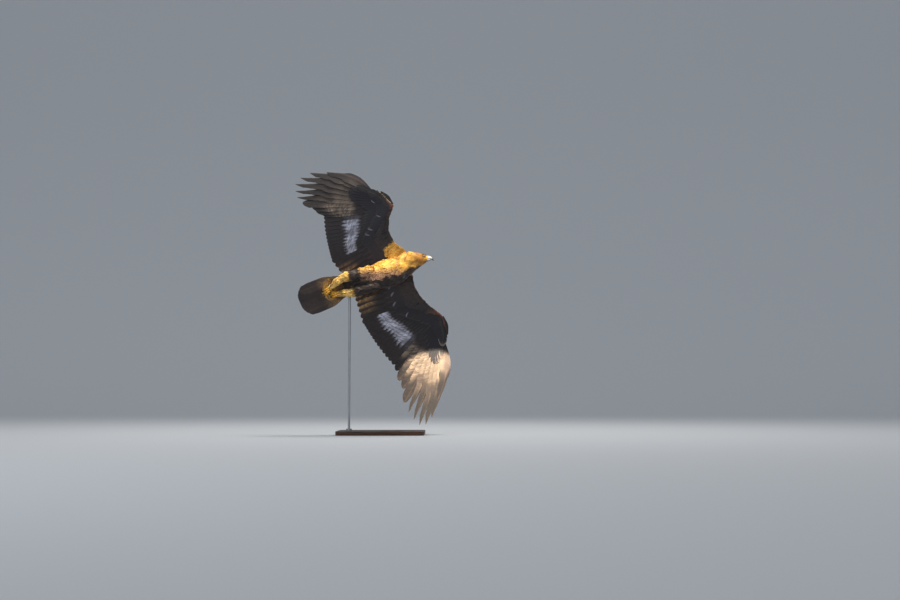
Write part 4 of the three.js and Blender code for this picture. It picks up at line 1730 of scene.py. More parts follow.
class Markings:
    """The bird's colours, the same for the skin and for the coat."""

    def __init__(self, wings: dict[Side, Wing]) -> None:
        """Keeps the wings, whose plan the markings follow."""
        self.wings = wings

    def coat(self, points: Array, normals: Array) -> tuple[Array, Array]:
        """The ground and tip colours of the small feathers.

        Args:
            points: Plan points, one row each.
            normals: The surface's outward directions there.

        Returns:
            The ground colours and the tip colours.
        """
        ground, tip = body_tint(points, normals)
        out = np.abs(points[:, 1])
        root = np.where(points[:, 1] > 0, MARKS.left_shoulder, edge_at(points, MARKS.shoulder))
        winged = smoothstep(out - root, *MARKS.soft) * smoothstep(points[:, 0], *MARKS.wing_from)
        under = smoothstep(-normals[:, 2], -0.25, 0.25)
        edge = self.rufous(points)
        near = 1 - smoothstep(out, *MARKS.axillary)
        # Painted sunlight: the left hand's under coverts take the pale panel colours.
        lit = self.sunlit(points[:, 0], points[:, 1])
        below = mix(mix(mix(INK.under, INK.axillary, near), INK.rufous, edge), INK.panel, lit)
        below_tip = mix(mix(mix(INK.under_tip, INK.axillary, near), INK.rufous, edge), INK.panel_edge, lit)
        ground = mix(ground, mix(INK.back, below, under), winged)
        tip = mix(tip, mix(INK.back_tip, below_tip, under), winged)
        for leg in LEGS:
            beyond, _ = limb_share(points, leg)
            share = (1 - smoothstep(beyond, *MARKS.leg_edge)) * smoothstep(-points[:, 0], *MARKS.leg_from)
            share = share * smoothstep(-points[:, 2], *MARKS.gold_below)
            ground, tip = mix(ground, INK.leg, share), mix(tip, INK.leg_tip, share)
        return ground, tip

    def sunlit(self, a: Array, p: Array) -> Array:
        """How far plan places lie in the painted sunlight that turns the left hand's under coverts pale."""
        return smoothstep(p - MARKS.sunlit[0] - MARKS.sunlit[1] * a, *MARKS.sunlit_edge)

    def rufous(self, points: Array) -> Array:
        """How rufous the leading edge of the wing is at plan points.

        Args:
            points: Plan points, one row each.

        Returns:
            A share for each point.
        """
        share = np.zeros(len(points))
        for side, wing in self.wings.items():
            wrist = wing.pose.leading[2]
            away = np.hypot(points[:, 0] - wrist[0], points[:, 1] * side.value - wrist[1])
            near = 1 - smoothstep(away, *MARKS.rufous)
            share = np.maximum(share, near * (points[:, 1] * side.value > 0))
        return share

    def flight(
        self, side: Side, kind: FlightKind, feather: Feather, along: Array, across: Array, face: Face
    ) -> Array:
        """The colours over one flight feather.

        Args:
            side: The wing's side.
            kind: The group that the feather belongs to.
            feather: The feather.
            along: Places from 0 at the root to 1 at the tip.
            across: Places from -1 at the leading edge to 1 at the trailing edge.
            face: Which face of the wing.

        Returns:
            A colour for each place.
        """
        rank = feather.rank
        if face is Face.UPPER:
            return mix(INK.back, INK.quill, smoothstep(along, 0.5, 0.85))
        if kind is FlightKind.PRIMARY:
            start = float(np.interp(rank, *zip(*MARKS.panel_from)))
            end = MARKS.panel_to[0] * (1 - rank) + MARKS.panel_to[1] * rank
            end = end + 0.05 * math.sin(31 * rank) + 0.16 * across
            shown = smoothstep(along, start - 0.05, start + 0.04)
            shown = shown * (1 - smoothstep(along, end - 0.08, end + 0.08))
            # Painted shade over the outer primaries' pale panel, far stronger on the right hand.
            outer = smoothstep(rank, *MARKS.outer) * MARKS.outer_dark[side]
            web = smoothstep(rank, 0.3, 0.5) * smoothstep(across, -0.05, 0.3) * smoothstep(along, 0.5, 0.62)
            dark = np.array(INK.quill) * (1 - 0.45 * smoothstep(along, 0.6, 0.85))[..., None]
            pale = mix(INK.panel, INK.panel_edge, smoothstep(across, 0.0, 0.9))
            return mix(dark, pale, shown * (1 - outer) * (1 - 0.85 * web))
        if kind is FlightKind.SECONDARY:
            # The silvery band: the secondaries' own pale grey band, brightened as painted sheen.
            away = np.abs(along - (MARKS.band_at + 0.02 * math.sin(11 * rank)) + 0.06 * across)
            strength = (0.78 + 0.22 * math.sin(13 * rank)) * float(smoothstep(rank, -0.05, 0.2))
            band = 1 - smoothstep(away, MARKS.band_half * 0.5, MARKS.band_half)
            return mix(INK.quill, INK.silver, band * strength)
        tawny = smoothstep(along, 0.5, 0.85) * smoothstep(rank, 0.0, 0.6)
        return mix(INK.quill, INK.tawny, tawny * smoothstep(np.abs(across), 0.1, 0.8))

    def bars(self, kind: FlightKind, feather: Feather) -> float:
        """How strongly dark bars cross a flight feather."""
        if kind is FlightKind.PRIMARY:
            return 0.8 - 0.75 * feather.rank
        return 0.55

    def covert(self, side: Side, face: Face, root: Array, along: Array, across: Array, glint: bool) -> Array:
        """The colours over one great or median covert, with painted sunlight on the left hand's under
        coverts and a painted glint on some tips.

        Args:
            side: The side of the bird.
            face: Which face of the wing.
            root: Where it grows, ahead and out.
            along: Places from 0 at the root to 1 at the tip.
            across: Places from -1 at the leading edge to 1 at the trailing edge.
            glint: Whether its tip carries a painted glint.

        Returns:
            A colour for each place.
        """
        if face is Face.UPPER:
            rim = np.maximum(smoothstep(np.abs(across), 0.45, 1), smoothstep(along, 0.72, 1))
            return mix(INK.back, INK.back_rim, 0.7 * rim)
        ground = mix(INK.under, INK.axillary, 1 - smoothstep(root[1], 120, 260))
        fringe = smoothstep(np.abs(across), 0.5, 1) * 0.6 + smoothstep(along, 0.8, 1) * 0.4
        dark = mix(ground, INK.under_tip, fringe)
        pale = mix(INK.panel, INK.panel_edge, fringe)
        # Painted sunlight on the left hand's under coverts.
        lit = self.sunlit(root[0], root[1] + MARKS.covert_reach * along) * (side is Side.LEFT)
        # A painted glint at the tip.
        shine = smoothstep(along, 0.8, 1) * smoothstep(across, -0.4, 0.6) * glint
        return mix(mix(dark, pale, lit), INK.glint, shine)

    def tail(self, along: Array, across: Array, face: Face, covert: bool) -> Array:
        """The colours over one tail feather or one covert at the tail's base."""
        if covert and face is Face.LOWER:
            return mix(INK.vent, INK.vent_tip, smoothstep(along + 0.4 * np.abs(across), 0.2, 1.1))
        base = mix(INK.tail_base, INK.back, 0.5 if face is Face.UPPER else 0.1)
        return mix(base, INK.tail_band, smoothstep(along, 0.35, 0.62))


# Coat


@dataclass(frozen=True)
class CoatSizes:
    """How the small feathers are spread and shaped, by place along the body."""

    places: tuple[float, ...] = (-216, -100, 100, 180, 225, 262, 290, 312, 330)
    spacing: tuple[float, ...] = (10.5, 10, 9.5, 8.0, 5.8, 4.3, 3.0, 2.4, 2.0)
    reach: tuple[float, ...] = (4.2, 3.8, 3.2, 3.6, 4.4, 4.6, 4.0, 3.2, 2.6)
    lift: tuple[float, ...] = (0.36, 0.36, 0.36, 0.38, 0.42, 0.46, 0.5, 0.5, 0.5)
    wing: float = 7.4
    leading_edge: float = 4.4
    edge_depth: float = 17.0
    thigh: float = 8.5
    shank: float = 6.0
    leg_reach: float = 5.0
    leg_lift: float = 1.0
    width: float = 1.6
    hackle_width: float = 1.35
    thick: float = 0.34
    sunk: float = -0.1
    cup: float = 6.0
    ragged: float = 0.05
    frayed: float = 0.03
    stray: float = 0.11
    ruffle: float = 26.0
    # How much brighter the raised clumps of small feathers and how much darker the sunk ones are painted:
    # painted light and shade.
    patchy: float = 0.7
    crowd: float = 9.0
    seed: int = 7
    leg_from: float = -60.0
    wing_from: float = -40.0
    wing_out: float = 90.0
    head_from: float = 262.0
    face_from: float = 300.0
    neck_from: float = 180.0
    splay: float = 0.22
    splay_from: Point = (-80, 120)
    foot_bare: float = 10.0
    lip_bare: Triple = (6.0, -12.5, 3.0)
    bill_bare: float = 26.0
    uneven: float = 0.08
    least_tone: float = 0.35
    tone: float = 1.6


class Region(Enum):
    """The parts of the coat that are separate pieces."""

    HEAD = ("head coat", Slot.GOLDEN)
    NECK = ("neck coat", Slot.GOLDEN)
    BREAST = ("breast coat", Slot.BODY)
    REAR = ("rear coat", Slot.BODY)
    LEGS = ("leg coat", Slot.GOLDEN)
    LEFT_WING = ("left wing coat", Slot.WING)
    RIGHT_WING = ("right wing coat", Slot.WING)


@dataclass(frozen=True)
class Tuft:
    """One small feather: where it grows and how it lies."""

    root: Array
    normal: Array
    lie: Array
    spacing: float
    reach: float
    lift: float
    ruffle: float
    region: Region
    bake: Array


class Coat:
    """The small feathers all over the skin."""

    def __init__(self, skin: Skin, markings: Markings, sizes: CoatSizes = CoatSizes()) -> None:
        """Keeps the skin that the feathers grow on.

        Args:
            skin: The skin.
            markings: The colours.
            sizes: The feathers' spread and shape.
        """
        self.skin = skin
        self.markings = markings
        self.sizes = sizes
        self.random = np.random.default_rng(sizes.seed)

    def spacings(self, points: Array) -> Array:
        """The distance between feathers at plan points.

        Args:
            points: Plan points, one row each.

        Returns:
            A distance for each point.
        """
        sizes = self.sizes
        gaps = np.interp(points[:, 0], sizes.places, sizes.spacing)
        gaps = np.where(self.winged(points), self.wing_spacing(points), gaps)
        for leg in LEGS:
            low = np.where(points[:, 0] < leg.ankle[0] + 10, sizes.shank, sizes.thigh)
            gaps = np.where(self.on_leg(points, leg)[0], low, gaps)
        return gaps

    def on_leg(self, points: Array, leg: LegPose) -> tuple[Array, Array]:
        """Whether plan points are on one leg, and which way it runs there."""
        beyond, run = limb_share(points, leg)
        return (beyond < 1) & (points[:, 0] < self.sizes.leg_from), run

    def legged(self, points: Array) -> Array:
        """Whether plan points are on a leg."""
        return np.any([self.on_leg(points, leg)[0] for leg in LEGS], axis=0)

    def winged(self, points: Array) -> Array:
        """Whether plan points are on a wing."""
        return (np.abs(points[:, 1]) > self.sizes.wing_out) & (points[:, 0] > self.sizes.wing_from)

    def wing_spacing(self, points: Array) -> Array:
        """The distance between feathers on a wing, closer along its leading edge.

        Args:
            points: Plan points, one row each.

        Returns:
            A distance for each point.
        """
        gaps = np.full(len(points), self.sizes.wing)
        for side, wing in self.skin.wings.items():
            stations = self.stations(wing, points[:, 1] * side.value)
            fronts = np.array([section[0][0] for section in wing.sections()])
            front = np.interp(stations, np.arange(len(fronts)), fronts)
            near = (front - points[:, 0] < self.sizes.edge_depth) & (points[:, 1] * side.value > 0)
            gaps = np.where(near, self.sizes.leading_edge, gaps)
        return gaps

    def stations(self, wing: Wing, out: Array) -> Array:
        """The wing's stations at places out from the middle."""
        middles = [(front[1] + rear[1]) / 2 for front, rear, _, _ in wing.sections()]
        return np.interp(out, middles, np.arange(len(middles)))

    def roots(self) -> tuple[Array, Array, Array]:
        """Spreads the roots evenly over the skin, none nearer to another than its spacing.

        Returns:
            The roots, the skin's outward directions there, and the faces they are on.
        """
        skin = self.skin
        middles = skin.points[skin.faces].mean(1)
        gaps = self.spacings(middles)
        weight = skin.areas / gaps**2
        tries = int(weight.sum() * self.sizes.crowd)
        picked = self.random.choice(len(weight), tries, p=weight / weight.sum())
        share = self.random.dirichlet((1, 1, 1), len(picked))
        points = np.einsum("nc,nck->nk", share, skin.points[skin.faces[picked]])
        gaps = gaps[picked]
        tree = KDTree(len(points))
        for index, point in enumerate(points):
            tree.insert(point, index)
        tree.balance()
        free = np.ones(len(points), bool)
        kept = []
        for index, (point, gap) in enumerate(zip(points, gaps)):
            if free[index]:
                kept.append(index)
                free[[found[1] for found in tree.find_range(point, gap)]] = False
        return points[kept], skin.normals[picked[kept]], picked[kept]

    def lies(self, points: Array) -> Array:
        """Which way the feathers lie at plan points, before they are laid along the skin.

        Args:
            points: Plan points, one row each.

        Returns:
            A direction for each point.
        """
        course = np.tile([-1.0, 0.0, 0.0], (len(points), 1))
        out = np.clip(points[:, 1] / self.sizes.wing_out, -1, 1)
        course[:, 1] += self.sizes.splay * out * smoothstep(points[:, 0], *self.sizes.splay_from)
        head = rotation(HEAD.roll, HEAD.yaw)
        forward = smoothstep(points[:, 0], self.sizes.head_from, self.sizes.face_from)[:, None]
        course = course * (1 - forward) - head[:, 0] * forward
        for side, wing in self.skin.wings.items():
            here = self.winged(points) & (points[:, 1] * side.value > 0)
            for index in np.flatnonzero(here):
                station = float(self.stations(wing, points[index, 1] * side.value))
                along, out = heading(wing.lie_at(station))
                course[index] = (along, out * side.value, 0)
        for leg in LEGS:
            on_leg, run = self.on_leg(points, leg)
            course[on_leg] = run[on_leg]
        return course

    def wrapped(self, points: Array, normals: Array, courses: Array) -> Array:
        """Turns the feathers on a wing's front edge outward along it, so that they close over it."""
        against = smoothstep(-np.einsum("nk,nk->n", normals, courses), 0.25, 0.7) * self.winged(points)
        outward = np.stack([0 * points[:, 0], np.sign(points[:, 1]), 0 * points[:, 0]], -1)
        return mix(courses, outward, against)

    def region(self, point: Array) -> Region:
        """Which piece of the coat a plan point belongs to.

        Args:
            point: A plan point.

        Returns:
            The region.
        """
        if self.legged(point[None])[0]:
            return Region.LEGS
        if self.winged(point[None])[0]:
            return Region.LEFT_WING if point[1] > 0 else Region.RIGHT_WING
        if point[0] > self.sizes.head_from:
            return Region.HEAD
        if point[0] > self.sizes.neck_from:
            return Region.NECK
        return Region.BREAST if point[0] > 0 else Region.REAR

    def bare(self, point: Array) -> bool:
        """Whether a plan point is bare: round the eye, at the bill or inside the foot.

        Args:
            point: A plan point.

        Returns:
            Whether no feather grows there.
        """
        own = HEAD.own(point)
        eye = self.skin.eye
        at = eye.front(Side.LEFT)
        beside = math.hypot(own[0] - at[0], own[2] - at[2])
        at_eye = beside < eye.bare and abs(own[1]) > eye.beside
        at_foot = any(np.linalg.norm(point - np.array(leg.foot)) < self.sizes.foot_bare for leg in LEGS)
        ahead, high, half = self.sizes.lip_bare
        at_lip = own[0] > ahead and abs(own[2] - high) < half and abs(own[1]) > eye.inside
        return at_eye or at_foot or at_lip or own[0] > self.sizes.bill_bare

    def tufts(self) -> list[Tuft]:
        """Every small feather of the coat.

        Returns:
            The feathers, without those on bare places.
        """
        roots, normals, faces = self.roots()
        courses = self.wrapped(roots, normals, self.lies(roots))
        gaps = self.spacings(roots)
        reach = np.interp(roots[:, 0], self.sizes.places, self.sizes.reach)
        reach = np.where(self.legged(roots), self.sizes.leg_reach, reach)
        found = []
        courses = courses + self.random.normal(0, self.sizes.stray, courses.shape)
        ruffles = ruffle(roots, self.sizes.ruffle)
        lifts = np.interp(roots[:, 0], self.sizes.places, self.sizes.lift) * (1 + ruffles)
        lifts = np.where(self.legged(roots), self.sizes.leg_lift, lifts)
        rows = zip(roots, normals, courses, gaps, reach, lifts, ruffles, faces)
        for root, normal, course, gap, long, lift, rough, index in rows:
            if self.bare(root):
                continue
            lie = course - normal * (course @ normal)
            size = np.linalg.norm(lie)
            if size < 0.05:
                continue
            bake = self.skin.places[index]
            found.append(Tuft(root, normal, lie / size, gap, long, lift, rough, self.region(root), bake))
        return found

    def drape(self, tuft: Tuft, grid: VaneGrid, length: float, width: float, outline: Outline) -> tuple:
        """Lays one feather over the skin.

        Args:
            tuft: The feather.
            grid: How finely it is divided.
            length: Its length.
            width: Its full width.
            outline: Its outline.

        Returns:
            Its middle sheet, the skin's outward direction at each of its rows, and its half thickness.
        """
        along = np.array(grid.along)
        across = np.array(grid.across)
        rise = tuft.spacing * (self.sizes.sunk + tuft.lift * along**0.8)
        point, direction, normal = tuft.root, tuft.lie, tuft.normal
        centres, normals, sides, courses = [], [], [], []
        stride = np.diff(along, prepend=0) * length
        for reach, high in zip(stride, rise):
            point, normal, _ = self.skin.nearest(point + direction * reach)
            direction = unit(direction - normal * (direction @ normal))
            centres.append(point + normal * high)
            normals.append(normal)
            sides.append(np.cross(normal, direction))
            courses.append(direction)
        half = outline.share(along)[:, None] * across[None] * width / 2
        half = half * (1 + self.random.normal(0, self.sizes.ragged, half.shape))
        cup = half**2 / (width * self.sizes.cup)
        frayed = np.abs(self.random.normal(0, self.sizes.frayed, half.shape))
        behind = outline.behind(along[:, None], across[None]) + frayed * (along[:, None] > 0.6)
        upward = np.array(normals)[:, None]
        middle = np.array(centres)[:, None] + np.array(sides)[:, None] * half[..., None]
        middle = middle - upward * cup[..., None]
        middle = middle - np.array(courses)[:, None] * (behind * length)[..., None]
        return middle, np.broadcast_to(upward, middle.shape), half

    def build(self, finishes: dict[Slot, Material]) -> None:
        """Builds the coat's pieces.

        Args:
            finishes: The plumage materials by slot.
        """
        grids = {Region.HEAD: FACE_GRID, Region.NECK: HACKLE_GRID}
        plumes = {region: Plumes(region.value[0], grids.get(region, COVERT_GRID)) for region in Region}
        tufts = self.tufts()
        roots = np.array([tuft.root for tuft in tufts])
        grounds, tips = self.markings.coat(roots, np.array([tuft.normal for tuft in tufts]))
        for tuft, ground, tip in zip(tufts, grounds, tips):
            sheet = plumes[tuft.region]
            grid = sheet.grid
            jitter = self.random.normal(1, self.sizes.uneven, 3)
            length = tuft.spacing * tuft.reach * jitter[0]
            pointed = tuft.region in grids
            width = tuft.spacing * (self.sizes.hackle_width if pointed else self.sizes.width) * jitter[1]
            outline = HACKLE if pointed else COVERT
            middle, normal, half = self.drape(tuft, grid, length, width, outline)
            along, across = grid.places()
            thick = self.sizes.thick * (1 - 0.5 * along) * (1 - 0.5 * np.abs(across))
            vane, bake = vane_place(half, along, length), bake_patch(tuft.bake, across, along)
            edge = np.clip(smoothstep(np.abs(across), 0.55, 1) * 0.8 + smoothstep(along, 0.7, 1), 0, 1)
            # Random tone, plus painted light and shade that follow the swells that lift the feathers.
            tone = 1 + self.sizes.tone * (jitter[2] - 1) + self.sizes.patchy * tuft.ruffle
            tone = max(self.sizes.least_tone, tone)
            tint = mix(ground * tone, tip * tone, edge)
            sheet.add(middle, normal, thick, vane, bake, tint)
        for region, sheet in plumes.items():
            if sheet.sheets:
                dress(sheet.build(), finishes[region.value[1]], region.value[1])


# Wings and tail


@dataclass(frozen=True)
class CovertTier:
    """A tier of coverts over and under the flight feathers."""

    name: str
    back: float
    above: float
    wide: float
    share: float = 0.0
    length: float = 0.0
    split: int = 1
    # The share of coverts with a painted glint at the tip.
    glints: float = 0.0


TIERS = (
    CovertTier("great coverts", 2, 6, 40, share=0.34),
    CovertTier("median coverts", -30, 10.6, 44, length=88, split=2, glints=0.08),
)


@dataclass(frozen=True)
class ScapularRow:
    """One row of the shoulder's long feathers, in the plan."""

    ahead: Triple
    out: float
    length: float
    wide: float
    turn: float
    above: float
    bulge: float


SCAPULARS = (
    ScapularRow((96, -66, -13), 68, 84, 40, 0.30, 8, 1),
    ScapularRow((108, -74, -12), 56, 70, 36, 0.28, 9, 1),
    ScapularRow((112, -80, -11), 42, 56, 31, 0.22, 9, 1),
    ScapularRow((116, -84, -10), 28, 44, 26, 0.16, 8, 1),
)
SCAPULAR_SUNK = 3.0
SCAPULAR_TONE = 0.72
CUP = 900.0
ABOVE_BODY = 90.0


class WingPlumage:
    """The flight feathers and the larger coverts of one wing."""

    thick = 0.9
    shaft = 2.0
    shaft_half = 0.06
    splits = 3  # fewer than this many in one vane
    split_rows = (11, 5)  # rows left whole at the root and at the tip
    split_left = (0.8, 0.92)  # the share of the web that is left at a split
    seed = 11

    def __init__(self, wing: Wing, skin: Skin, markings: Markings) -> None:
        """Keeps the wing that the feathers stand on."""
        self.wing = wing
        self.skin = skin
        self.markings = markings
        self.random = np.random.default_rng(self.seed + wing.pose.side.value)

    def sheet(self, feather: Feather, grid: VaneGrid) -> tuple[Array, ...]:
        """One vane over the wing's surface.

        Args:
            feather: The feather.
            grid: How finely it is divided.

        Returns:
            Its middle sheet, its upward directions, and its places across and along.
        """
        wing = self.wing
        along, across = grid.places()
        web = np.where(across < 0, feather.lead, 1 - feather.lead)
        x = across * web * feather.wide * feather.outline.share(along)
        x = self.split(x) if grid is QUILL_GRID else x
        plan = wing.plan_length(feather.root, feather.angle, feather.length)
        bend = -4 * feather.bow * plan * along * (1 - along)
        ahead, inner = heading(feather.angle), heading(feather.angle - 90)
        reach = plan * (along - feather.outline.behind(along, across))
        a = feather.root[0] + ahead[0] * reach + inner[0] * (x + bend)
        p = feather.root[1] + ahead[1] * reach + inner[1] * (x + bend)
        level = feather.level * np.minimum(1, feather.sunk + 2 * along)
        middle = wing.at(a, p, level - wing.tilt * x - x**2 / CUP)
        rows, columns = np.gradient(middle, axis=0), np.gradient(middle, axis=1)
        normal = np.cross(rows, columns)
        normal *= np.sign(normal[..., 2:3])
        normal /= np.maximum(np.linalg.norm(normal, axis=-1, keepdims=True), 1e-9)
        return middle, normal, x, along, across

    def add(
        self,
        plumes: Plumes,
        feather: Feather,
        tints: Sequence[Array],
        parts: tuple[Array, ...],
        bars: float = 0.0,
    ) -> None:
        """Adds one vane with its shaft to a mesh, in a colour for each face and with its bars.

        Args:
            plumes: The mesh that it joins.
            feather: The feather.
            tints: The colours of the two faces.
            parts: What sheet returned for it.
            bars: How strongly dark bars cross it.
        """
        middle, normal, x, along, across = parts
        ridge = (np.abs(across) < self.shaft_half) * self.shaft * (1 - along) ** 0.8
        half = (self.thick * (1 - 0.6 * np.abs(across) ** 2) + ridge) / 2
        bake = bake_patch(self.skin.bake_place(middle[0].mean(0)), across, along)
        plumes.add(middle, normal, half, vane_place(x, along, feather.length), bake, np.stack(tints), bars)

    def split(self, x: Array) -> Array:
        """Opens a small split in a vane's trailing edge on most feathers.

        Args:
            x: How far each point lies from the shaft.

        Returns:
            The same with its splits.
        """
        split = np.ones_like(x)
        for _ in range(self.random.integers(0, self.splits)):
            row = self.random.integers(self.split_rows[0], len(x) - self.split_rows[1])
            split[row, -1] = self.random.uniform(*self.split_left)
        return x * split

    def flights(self) -> Plumes:
        """The primaries, secondaries and tertials.

        Returns:
            The feathers as one mesh.
        """
        plumes = Plumes(f"{self.wing.pose.side.word} flight feathers", QUILL_GRID)
        for kind, feather in self.wing.flights():
            parts = self.sheet(feather, QUILL_GRID)
            tone = self.random.normal(1, 0.05)
            side, places = self.wing.pose.side, parts[3:5]
            tints = [tone * self.markings.flight(side, kind, feather, *places, face) for face in Face]
            self.add(plumes, feather, tints, parts, self.markings.bars(kind, feather))
        return plumes

    def coverts(self, tier: CovertTier) -> Plumes:
        """One tier of coverts, over and under every flight feather.

        Args:
            tier: The tier.

        Returns:
            The feathers as one mesh.
        """
        plumes = Plumes(f"{self.wing.pose.side.word} {tier.name}", COVERT_GRID)
        wing = self.wing
        flights = wing.flights()
        for index, (_, flight) in enumerate(flights):
            for extra in range(tier.split):
                share = extra / tier.split
                after = flights[min(index + 1, len(flights) - 1)][1]
                angle = flight.angle * (1 - share) + after.angle * share
                root = between(flight.root, after.root, share)
                length = (flight.length * tier.share or tier.length) * self.random.normal(1, 0.04)
                for face in Face:
                    level = flight.level + face.value * (tier.above + 0.8 * share)
                    feather = Feather(
                        step(root, angle, tier.back), angle, length, tier.wide, COVERT, 0.5, level, 0.6, 0.02
                    )
                    parts = self.sheet(feather, COVERT_GRID)
                    glint = self.random.random() < tier.glints
                    tint = self.markings.covert(wing.pose.side, face, root, parts[3], parts[4], glint)
                    tint = tint * self.random.normal(1, 0.1)
                    self.add(plumes, feather, (tint, tint), parts)
        return plumes

    def alula(self) -> Plumes:
        """The thumb's feathers along the leading edge beyond the wrist.

        Returns:
            The feathers as one mesh.
        """
        wing = self.wing
        plumes = Plumes(f"{wing.pose.side.word} alula", COVERT_GRID)
        root = step(wing.pose.leading[2], wing.pose.hand, 12)
        for index in range(3):
            angle = wing.pose.hand - 1 - 4 * index
            start = step(root, wing.pose.hand - 70, 4 * index)
            feather = Feather(start, angle, 118 - 16 * index, 26, COVERT, 0.5, 11.5 + 2 * index, 0.5, 0.04)
            parts = self.sheet(feather, COVERT_GRID)
            plain = np.ones(parts[0].shape)
            self.add(plumes, feather, (plain * INK.back, plain * INK.quill), parts)
        return plumes

    def scapulars(self) -> Plumes:
        """The shoulder's long feathers, which close over the wing's root from above.

        Returns:
            The feathers as one mesh.
        """
        wing, side = self.wing, self.wing.pose.side.value
        plumes = Plumes(f"{wing.pose.side.word} scapulars", COVERT_GRID)
        along, across = COVERT_GRID.places()
        for row in SCAPULARS:
            for ahead in np.arange(*row.ahead):
                start, normal, face = self.skin.nearest(np.array([ahead, side * row.out, ABOVE_BODY]))
                length, turn = row.length * self.random.normal(1, 0.05), self.random.normal(row.turn, 0.05)
                back, out, high = wing.at(ahead - length, row.out + turn * length, row.above)
                body, _, _ = self.skin.nearest(np.array([back, out, ABOVE_BODY]))
                end = np.array([back, out, max(high, body[2] + row.above / 4)])
                start = start - normal * SCAPULAR_SUNK
                course = unit(end - start)
                beside = unit(np.cross(normal, course))
                x = across * row.wide / 2 * COVERT.share(along)
                reach = (along - COVERT.behind(along, across)) * np.linalg.norm(end - start)
                bulge = row.bulge * 4 * along * (1 - along) - x**2 / (row.wide * 6)
                middle = start + course * reach[..., None] + beside * x[..., None]
                middle = middle + normal * bulge[..., None]
                half = self.thick * (1 - 0.6 * np.abs(across)) / 2
                vane, bake = vane_place(x, along, length), bake_patch(self.skin.places[face], across, along)
                tint = self.markings.covert(wing.pose.side, Face.UPPER, start[:2], along, across, False)
                tint = tint * self.random.normal(SCAPULAR_TONE, 0.1)
                plumes.add(middle, np.broadcast_to(normal, middle.shape), half, vane, bake, tint)
        return plumes

    def build(self, finish: Material) -> None:
        """Builds the wing's pieces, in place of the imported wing.

        Args:
            finish: The plumage material.
        """
        word = self.wing.pose.side.word
        nodes = [f"wing_{word}_{part}" for part in ("arm", "forearm", "hand")]
        dress(self.flights().build(), finish, Slot.WING, *nodes)
        for tier in TIERS:
            dress(self.coverts(tier).build(), finish, Slot.WING)
        dress(self.alula().build(), finish, Slot.WING, f"alula_{word}")
        dress(self.scapulars().build(), finish, Slot.WING)


@dataclass(frozen=True)
class TailSizes:
    """The tail's fan, in a frame of its own at its root."""

    pose: Pose = Pose(at=(-200, -10, 4), roll=12, yaw=-4.4)
    pairs: int = 6
    length: float = 276
    half: float = 60
    spread: float = 1.2
    wide: float = 67
    step: float = 1.25
    thick: float = 0.9
    shaft: float = 1.8
    shaft_half: float = 0.06
    covert_shift: float = -0.25
    covert_wide: float = 40.0
    bars: float = 0.7
    seed: int = 5


class TailPlumage:
    """The tail's fan with its coverts."""

    def __init__(self, skin: Skin, markings: Markings, sizes: TailSizes = TailSizes()) -> None:
        """Keeps the tail's sizes."""
        self.skin = skin
        self.markings = markings
        self.sizes = sizes
        self.random = np.random.default_rng(sizes.seed)

    def add(
        self,
        plumes: Plumes,
        start: Point,
        angle: float,
        length: float,
        wide: float,
        level: float,
        outline: Outline,
    ) -> None:
        """Adds one feather that lies back from its root.

        Args:
            plumes: The mesh that it joins.
            start: Its root, ahead and to the left.
            angle: How far it turns out, in degrees.
            length: Its length.
            wide: Its full width.
            level: Its height in the fan.
            outline: Its outline.
        """
        along, across = plumes.grid.places()
        turn = math.radians(angle)
        x = across * wide / 2 * outline.share(along)
        reach = length * (along - outline.behind(along, across))
        back = start[0] - reach * math.cos(turn) - x * math.sin(turn)
        out = start[1] + reach * math.sin(turn) + x * math.cos(turn)
        high = level - x**2 / CUP
        middle = self.sizes.pose.plan(np.stack([back, out, high], -1))
        upward = rotation(self.sizes.pose.roll, self.sizes.pose.yaw)[:, 2]
        covert = outline is COVERT
        ridge = (np.abs(across) < self.sizes.shaft_half) * self.sizes.shaft * (1 - along) * (not covert)
        half = (self.sizes.thick * (1 - 0.6 * np.abs(across) ** 2) + ridge) / 2
        bake = bake_patch(self.skin.bake_place(middle[0].mean(0)), across, along)
        vane = vane_place(x, along, length)
        shifted = along + self.sizes.covert_shift * covert
        tone = self.random.normal(1, 0.07)
        tints = np.stack([tone * self.markings.tail(shifted, across, face, covert) for face in Face])
        upward = np.broadcast_to(upward, middle.shape)
        plumes.add(middle, upward, half, vane, bake, tints, self.sizes.bars)

    def build(self, finish: Material) -> None:
        """Builds the fan and its coverts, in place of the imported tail.

        Args:
            finish: The plumage material.
        """
        sizes = self.sizes
        fan = Plumes("tail feathers", QUILL_GRID)
        coverts = Plumes("tail coverts", COVERT_GRID)
        for side in Side:
            for pair in range(sizes.pairs):
                t = pair / (sizes.pairs - 1)
                rank = 2 * pair + (1 if side is Side.LEFT else 0)
                out = side.value * (5 + t * (sizes.half - 5))
                angle = side.value * sizes.spread * (t + 0.1)
                length = sizes.length * (1 - 0.09 * t**3)
                self.add(fan, (0, out), angle, length, sizes.wide, 2 - sizes.step * rank, TAIL_OUTLINE)
                start, lean, level = (6, out * 0.92), angle * 1.5, -0.45 * rank
                for length, above in ((118 - 12 * t, 9), (138 - 30 * t, -16)):
                    self.add(coverts, start, lean, length, sizes.covert_wide, above + level, COVERT)
        dress(fan.build(), finish, Slot.TAIL, "tail")
        dress(coverts.build(), finish, Slot.TAIL)


# Head


@dataclass(frozen=True)
class BillStation:
    """One section of the bill in the head's frame: place, half width, half height and turn down."""

    x: float
    z: float
    wide: float
    high: float
    turn: float = 0.0


